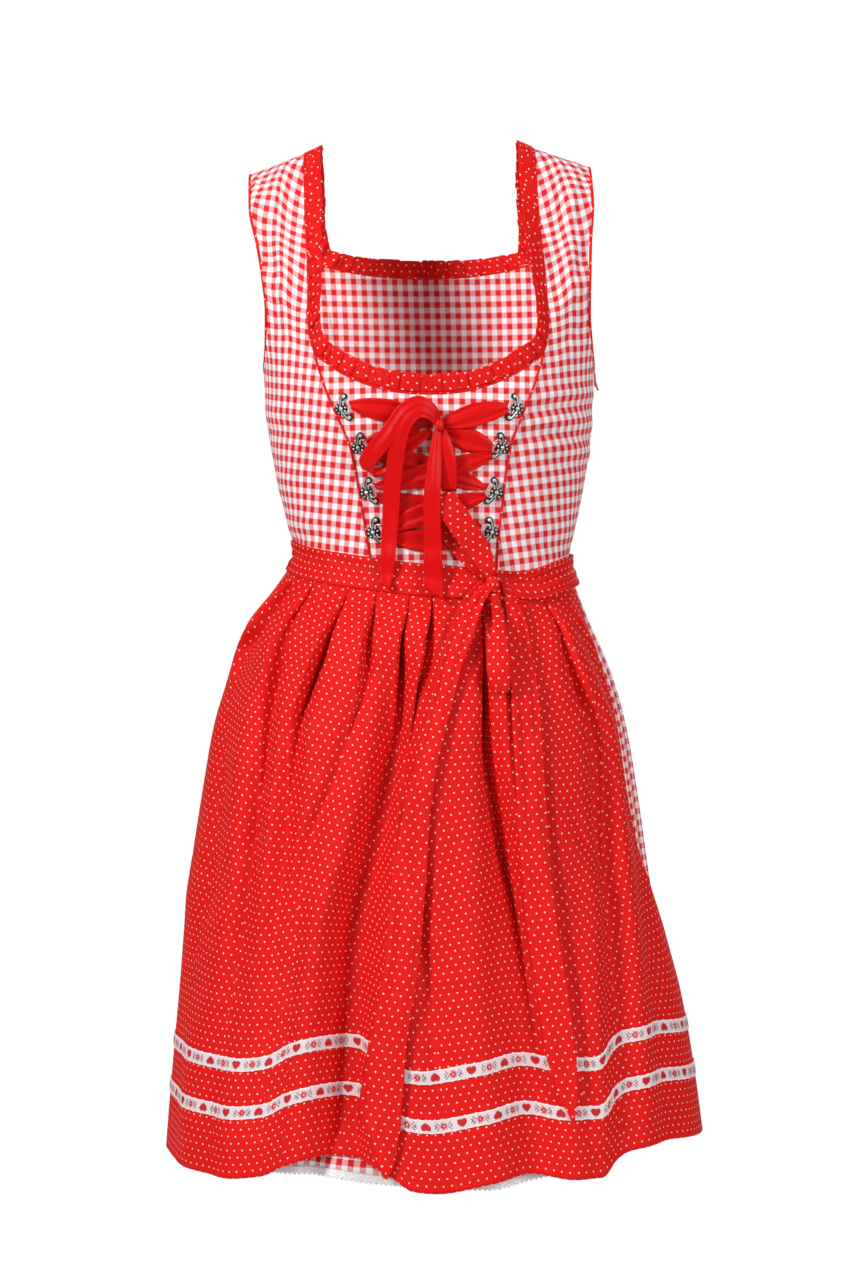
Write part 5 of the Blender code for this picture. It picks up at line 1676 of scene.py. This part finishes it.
# the bow's ribbons and the ties: middle line in the front view, lift off the cloth, half width and tilt
ribbonColumns = "x height lift half tilt"
bowLoopRight = table(
    ribbonColumns,
    (9, -249, 8, 3, 40),
    (4, -238, 13, 5.5, 62),
    (-9, -231.5, 16, 7.5, 95),
    (-22, -238, 16, 7.6, 122),
    (-33, -253.5, 15, 7.8, 133),
    (-43, -266, 14, 8.2, 137),
    (-51, -275.5, 12.5, 8.2, 142),
    (-56, -284.5, 10.5, 7.5, 152),
    (-54, -291, 8.6, 6, 150),
    (-44, -291, 7.2, 4.5, 128),
    (-33, -284, 6.8, 5, 122),
    (-18, -268, 6.6, 6, 130),
    (2, -254, 6.6, 3, 125),
)
bowLoopLeft = table(
    ribbonColumns,
    (12, -254, 8, 3, 200),
    (15.5, -268, 10, 5.5, 192),
    (18, -285, 10.5, 7, 184),
    (18, -300, 9.5, 7.2, 182),
    (18, -308, 7.4, 6.6, 180),
    (18, -300, 5.4, 6.5, 180),
    (17, -280, 5.2, 6, 184),
    (12, -255, 4.8, 3, 190),
)
bowTailRight = table(
    ribbonColumns,
    (8, -249, 12, 3, 50),
    (1, -240.5, 17, 5, 70),
    (-8, -237.5, 19.5, 6.6, 97),
    (-18, -243.5, 19.5, 7.4, 125),
    (-24.5, -254, 18, 7.8, 150),
    (-28, -268, 15.5, 7.8, 166),
    (-30.5, -285, 12.5, 7.8, 173),
    (-33, -305, 9.5, 7.8, 177),
    (-34.5, -330, 8.0, 7.6, 179),
    (-36, -352, 7.6, 7.2, 180),
    (-37, -368, 5.4, 6.6, 178),
    (-38, -384, 4.0, 5.5, 176),
    (-39.5, -394, 3.4, 4.4, 160),
)
bowTailCentre = table(
    ribbonColumns,
    (8, -253, 9.5, 3.2, 180),
    (6.6, -262, 10.5, 4.4, 180),
    (5.6, -275, 12, 5.8, 180),
    (4.4, -294, 15, 6.8, 180),
    (2.8, -312, 17, 7.6, 180),
    (2.6, -335, 16.5, 8.0, 180),
    (3.2, -358, 12.0, 8.3, 180),
    (3.4, -378, 7.0, 8.4, 180),
    (3.7, -400, 4.2, 10.8, 140),
)
tieLoopUp = table(
    ribbonColumns,
    (54, -386, 2.5, 5, 35),
    (42, -373, 2.0, 8, 38),
    (28, -357, 2.0, 10, 34),
    (17, -341, 2.0, 10.5, 32),
    (8, -327, 2.5, 11, 31),
    (4, -315, 7.0, 11, 30),
    (11, -314, 13.0, 11, 30),
    (19, -324, 14.2, 11.3, 30),
    (28.5, -337.5, 14.4, 11.5, 31),
    (39, -353, 13.0, 11, 34),
    (49, -369, 11.0, 9, 38),
    (57, -384, 8.0, 5, 38),
)
tieLoopDown = table(
    ribbonColumns,
    (58, -400.9, 6.5, 3.4, 180),
    (60.5, -414, 10, 3.8, 178),
    (61.5, -428, 13.5, 5.6, 178),
    (61, -448, 16, 9.8, 180),
    (61, -465, 15.6, 10.4, 182),
    (62.5, -479, 13.5, 8.6, 186),
    (66.5, -489, 10, 3.6, 192),
    (67.5, -477, 6.5, 5.5, 184),
    (66, -454, 5.5, 8, 180),
    (63, -425, 5.0, 6, 180),
    (58, -400.9, 3.0, 3.4, 180),
)
tieTailLong = table(
    ribbonColumns,
    (52, -392, 7.0, 6, 140),
    (42, -404, 6.5, 8.5, 148),
    (35, -418, 6.0, 10.5, 157),
    (29, -435, 5.4, 11, 160),
    (21, -458, 5.0, 10, 162),
    (14, -486, 5.0, 9.6, 164),
    (7, -515, 5.0, 8.8, 165),
    (0.5, -541, 5.0, 9.0, 166),
    (-11, -595, 5.0, 12, 170),
    (-18, -658, 5.4, 15, 174),
    (-24, -725, 6.0, 15, 173),
    (-36, -795, 6.0, 16.4, 173),
    (-40, -830, 5.4, 18, 174),
    (-42.6, -855, 5.0, 18.6, 174),
    (-39, -880, 4.6, 11.5, 176),
    (-37, -900, 4.0, 5.4, 180),
    (-38, -911, 3.8, 0.9, 180),
)
tieTailSide = table(
    ribbonColumns,
    (72, -402, 3.0, 5, 190),
    (79, -430, 2.5, 9, 190),
    (84, -480, 2.5, 12, 188),
    (88, -540, 2.5, 13, 186),
    (92, -610, 2.5, 13, 186),
    (99, -690, 2.5, 14, 188),
    (108, -750, 2.5, 14, 188),
    (115, -800, 2.5, 13, 188),
    (121, -835, 2.5, 9, 186),
    (126, -862, 2.5, 1.5, 180),
)
# place in the front view, size, lift off the cloth and turn of the grooves in radians
knots = {
    "bowKnot": {"centre": (9.5, -250.0), "size": (8, 8, 10), "lift": 8.5, "turn": 0.3, "finish": "satin"},
    "tieKnot": {"centre": (57.0, -392.0), "size": (12, 9, 16), "lift": 3.0, "turn": 1.2, "finish": "dotted"},
}
# the bow's and the ties' own folds: how many across, height, start and end share of the length, phase
bowRibbons = {
    "bowLoopRight": (bowLoopRight, [(0.8, 0.5, 0, 1, 0.0), (1.7, 0.3, 0, 1, 0.4)]),
    "bowLoopLeft": (bowLoopLeft, [(0.8, 0.6, 0, 1, 0.3), (1.9, 0.25, 0, 1, 1.4)]),
    "bowTailRight": (bowTailRight, [(1.6, 0.4, 0, 0.35, 0.0), (0.7, 0.7, 0.3, 1, 0.3)]),
    "bowTailCentre": (bowTailCentre, [(1.8, 0.4, 0, 0.35, 0.6), (0.7, 0.7, 0.2, 1, -0.3)]),
}
tieRibbons = {
    "tieLoopUp": (tieLoopUp, [(0.8, 0.5, 0, 1, 0.6), (3.0, 0.6, 0.85, 1, 0.4)]),
    "tieLoopDown": (tieLoopDown, [(1.0, 1.2, 0, 1, 0.2), (3.0, 0.5, 0, 0.3, 0.4)]),
    "tieTailLong": (
        tieTailLong,
        [(2.2, 0.9, 0, 0.25, 0.0), (1.2, 1.2, 0.15, 0.8, 1.0), (1.8, 1.0, 0.6, 1, 0.3)],
    ),
    "tieTailSide": (tieTailSide, [(2.0, 0.7, 0, 0.5, 0.6), (1.3, 0.8, 0.3, 1, 2.0)]),
}


knotShape = {"rows": 33, "columns": 48, "squareness": 0.8, "grooves": 9, "grooveDeep": 0.055, "full": 1.02}


def makeKnot(name):
    # a plump wrapped knot: a squared ball, with cosine grooves round it the way the ribbon passes over
    knot = knots[name]
    x, z = knot["centre"]
    size = knot["size"]
    y = float(frontFace(x, z)) - knot["lift"] - size[1] / 2
    rising = np.linspace(-90, 90, knotShape["rows"])[:, None]
    around = np.linspace(-180, 180, knotShape["columns"] + 1)[None, :-1]
    up, turn = np.radians(rising), np.radians(around)
    ball = np.stack([np.cos(up) * np.sin(turn), -np.cos(up) * np.cos(turn), np.sin(up) + 0 * turn], -1)
    soft = power(ball, knotShape["squareness"])
    across = soft[..., 0] * math.cos(knot["turn"]) + soft[..., 2] * math.sin(knot["turn"])
    groove = knotShape["grooveDeep"] * np.cos(knotShape["grooves"] * across)
    half = np.array(size, float) / 2 * knotShape["full"]
    points = soft * half * (1 + groove)[..., None] + np.array([x, y, z])
    u = around * size[0] / 60 + 0 * rising
    v = rising * size[2] / 100 + 0 * around
    u = np.concatenate([u, u[:, :1] + 6 * size[0]], 1)
    v = np.concatenate([v, v[:, :1]], 1)
    points = np.concatenate([points, points[:, :1]], 1)
    item = gridPiece(name, points, knot["finish"], (u, u, v), 0)
    weld(item)
    return item


def layRibbons(kind, ribbons, knotName, flat):
    # makes the knot, then lays each ribbon of the bow
    knot = makeKnot(knotName)
    for number, (name, (path, folds)) in enumerate(ribbons.items()):
        held, parts = ("hung" if "Tail" in name else "folded"), ([] if number else [knot])
        laidStrip(name, kind, path, folds, name in flat, parts)


def makeLacing():
    # each stretch lies straight on the bodice, widest in its middle
    for name, ((x0, z0), (x1, z1), (x2, z2), lift) in lacings.items():
        tilt = math.degrees(math.atan2(z2 - z0, x2 - x0)) + 270
        last = lacingEnds["atHook"] if abs(x2) > 30 else lacingEnds["atKnot"]
        path = table(
            ribbonColumns,
            (x0, z0, lift, lacingEnds["narrow"], tilt),
            ((2 * x0 + x1) / 3, (2 * z0 + z1) / 3, lift, lacingEnds["shoulder"], tilt),
            (x1, z1, lift, lacingEnds["middle"], tilt),
            ((x1 + 2 * x2) / 3, (z1 + 2 * z2) / 3, lift, lacingEnds["far"], tilt),
            (x2, z2, lift, last, tilt),
        )
        folds = [(1.7, 0.7, 0, 1, dice.uniform(0, 6)), (3.1, 0.3, 0, 1, dice.uniform(0, 6))]
        laidStrip(name, "lace", path, folds)


makeLacing()
layRibbons("bow", bowRibbons, "bowKnot", list(bowRibbons))
layRibbons("tie", tieRibbons, "tieKnot", ["tieLoopUp", "tieLoopDown"])
print("ribbons made")


# the four hooks of each side: x and height of the flower, and how far it stands off
hookRows = table("x height stand", (77, -234, -0.2), (63, -268, 0.2), (56.5, -308, 0.9), (51.5, -344, 0.9))
# radius, squash, rings and sides of each rounded part, the radii along an arm, and how far parts lie off
# the cloth
hook = {
    "lean": 16.0,
    "flowerOut": 1.4,
    "petals": 8,
    "petalCircle": 4.3,
    "petal": (1.12, 0.8, 4, 10),
    "petalOff": 1.7,
    "stone": (2.0, 0.8, 6, 16),
    "stoneOff": 2.2,
    "plate": (6.0, 0.2, 3, 24),
    "plateOff": 0.9,
    "armRadii": (1.15, 0.92, 0.75, 0.8),
    "armRings": 34,
    "armOff": (1.5, 0.1),
    "armPlate": 2.05,
    "armPlateOff": 0.7,
    "armEnd": (1.05, 0.9, 4, 10),
    "curlRadius": 0.55,
    "curlOff": 1.6,
    "bead": (1.1, 0.7, 4, 10),
    "beadPlace": (-1.9, 4.9, 1.5),
    "eyeRadius": 0.45,
}
# middle lines in the hook's own plane: outwards from the seam and up from the flower
hookArm = (1.6, 2.2), (0.2, 4.2), (-0.6, 6.2), (-1.4, 8.2), (-2.6, 10.0)
hookArm += (-4.2, 10.9), (-5.4, 10.2), (-5.1, 8.9), (-4.0, 9.1)
hookCurl = (1.4, 4.6), (2.3, 5.6), (2.2, 6.8), (1.2, 7.2), (0.6, 6.4)
# the wire eye's upper half, with how far it stands off; the lower half mirrors it
hookEye = (-0.9, 5.4, 1.2), (-3.4, 5.9, 1.7), (-6.0, 5.2, 2.3), (-7.6, 3.2, 2.8), (-8.0, 0.0, 3.0)


def hookShapes(sign):
    # in mm: y up the seam, z away from the cloth, sign the way to the outer side. A flower with a round
    # stone, an arm with a scroll above and below it that bend inwards, and a wire eye for the ribbon
    boss = np.array((sign * hook["flowerOut"], 0.0, 0.0))
    turns = np.arange(hook["petals"]) * 2 * np.pi / hook["petals"]
    circle = hook["petalCircle"]
    bright = [
        domeShape(boss + (circle * math.cos(turn), circle * math.sin(turn), hook["petalOff"]), *hook["petal"])
        for turn in turns
    ]
    bright.append(domeShape(boss + (0, 0, hook["stoneOff"]), *hook["stone"]))
    # the dark plates reach past the bright parts: painted shade round and between them, with the antique
    # finish's own dark in the recesses
    dark = [domeShape(boss + (0, 0, hook["plateOff"]), *hook["plate"])]
    off, climb = hook["armOff"]
    beadOut, beadUp, beadOff = hook["beadPlace"]
    for up in (1, -1):
        path = np.array([(sign * x, up * y, off + climb * row) for row, (x, y) in enumerate(hookArm)])
        path = resample(path, hook["armRings"])
        size = np.interp(np.linspace(0, 1, hook["armRings"]), (0, 0.5, 0.75, 1), hook["armRadii"])
        bright.append(tubeShape(path, size, 8))
        dark.append(tubeShape(path * (1, 1, 0) + (0, 0, hook["armPlateOff"]), hook["armPlate"], 6))
        bright.append(domeShape(path[-1], *hook["armEnd"]))
        path = np.array([(sign * x, up * y, hook["curlOff"]) for x, y in hookCurl])
        bright.append(tubeShape(resample(path, 16), hook["curlRadius"], 6))
        bright.append(domeShape((sign * beadOut, up * beadUp, beadOff), *hook["bead"]))
    lower = [(x, -y, z) for x, y, z in hookEye[-2::-1]]
    path = np.array([*hookEye, *lower]) * (sign, 1, 1)
    bright.append(tubeShape(resample(path, 34), hook["eyeRadius"], 6))
    return bright, dark


def makeHooks():
    # each hook stands on the bodice beside its seam, turned with it
    for side, sign in (("left", 1), ("right", -1)):
        bright, dark = hookShapes(sign)
        lean = math.radians(hook["lean"]) * sign
        for row, (away, height, stand) in enumerate(zip(*hookRows.values()), 1):
            angle = sign * float(sectionAngle(bodiceSections, away, height, lean=False))
            spot = np.array([[angle, height]])
            out = surfaceOut(spot)[0]
            place = bodicePoint(spot[:, 0], spot[:, 1])[0] + out * (form["wall"] + stand)
            up = np.array([math.sin(lean), 0, math.cos(lean)])
            up = unit(up - out * np.dot(up, out))
            axes = np.stack([np.cross(up, out), up, out])
            # bright relief in silver; the plates under it in near-black, which paints shade round the relief
            for part, shapes, finish in (("", bright, "silver"), ("Plate", dark, "darkSilver")):
                moved = [(points @ axes + place, faces) for points, faces in shapes]
                name = f"hook{side.title()}{row}{part}"
                finishPiece(name, joinedMesh(name, moved), finish, node=f"hook_{side}_{row}")


# a short loop end with two free ends: how far each point of its line lies outwards, back and down
sideCord = {"height": -193.5, "radius": 0.8, "gap": 0.3}
cordLine = (0.3, -3.2, 13), (0, -2.6, 6), (0, -1.6, 1.2), (0, 0, 0)
cordLine += (0, 1.6, 1.2), (0.6, 2.6, 7), (3.4, 3.4, 16)


def makeSideCord():
    # a limp cord at the side opening, smooth through the points of its line
    height, radius = sideCord["height"], sideCord["radius"]
    x = section(bodiceSections, "half", height) + form["wall"] + sideCord["gap"] + radius
    path = resample(np.array([(x + away, y, height - drop) for away, y, drop in cordLine], float), 40)
    item = tubePiece("sideOpeningCord", path, radius)


makeHooks()
makeSideCord()
print("hooks made")


# the place of the lens gives the view of a person three metres away, level with the hips
studio = {"lens": 90.7, "sensor": 36.0, "camera": (-0.0023, -3.0, -0.44175), "aim": (0.0, 0.0, -0.45)}
# the backdrop is white to look at, and gives off less light than it seems to
studio |= {"backdrop": 0.21, "floorSize": 1.0, "floorHeight": -1.35, "floor": "F6F6F6"}
# place, size in metres and watts
lights = {
    "keyLight": ((-2.0, -2.1, 0.9), 0.6, 77.0),
    "fillLight": ((2.1, -2.5, 0.3), 1.2, 50.0),
    "topLight": ((0.3, -0.6, 2.2), 1.2, 12.0),
    "backLight": ((0.4, 2.6, 0.5), 1.8, 46.0),
}


def makeStudio():
    # camera, white surroundings, four soft lights and a pale floor
    scene = bpy.context.scene
    camera = bpy.data.objects.new("camera", bpy.data.cameras.new("camera"))
    camera.data.lens, camera.data.sensor_width, camera.data.clip_end = studio["lens"], studio["sensor"], 50.0
    camera.location = studio["camera"]
    camera.rotation_euler = (math.radians(90), 0, 0)
    scene.collection.objects.link(camera)
    scene.camera = camera
    scene.world = bpy.data.worlds.new("studio")
    scene.world.use_nodes = True
    tree = scene.world.node_tree
    seen = addNode(tree, "ShaderNodeLightPath").outputs["Is Camera Ray"]
    strength = mathNode(tree, "MULTIPLY_ADD", seen, 1 - studio["backdrop"], studio["backdrop"])
    tree.links.new(strength, tree.nodes["Background"].inputs[1])
    tree.nodes["Background"].inputs[0].default_value = (1.0, 1.0, 1.0, 1.0)
    for name, (place, size, watts) in lights.items():
        light = bpy.data.lights.new(name, "AREA")
        light.energy, light.size = watts, size
        lamp = bpy.data.objects.new(name, light)
        lamp.location = place
        x, y, z = np.array(studio["aim"]) - np.array(place)
        lamp.rotation_euler = (math.atan2(math.hypot(x, y), -z), 0, math.atan2(-x, y))
        scene.collection.objects.link(lamp)
    # the floor lies well below the hem, as far down as a wearer's knees
    size, low = studio["floorSize"], studio["floorHeight"]
    corners = [(x * size, y * size, low) for x, y in ((-1, -1), (1, -1), (1, 1), (-1, 1))]
    mesh = bpy.data.meshes.new("floor")
    mesh.from_pydata(corners, [], [(0, 1, 2, 3)])
    mesh.materials.append(plainFinish("paleFloor", studio["floor"], 0.9))
    floor = bpy.data.objects.new("floor", mesh)
    scene.collection.objects.link(floor)
    scene.view_settings.view_transform = "Standard"


makeStudio()
print("camera and light set")
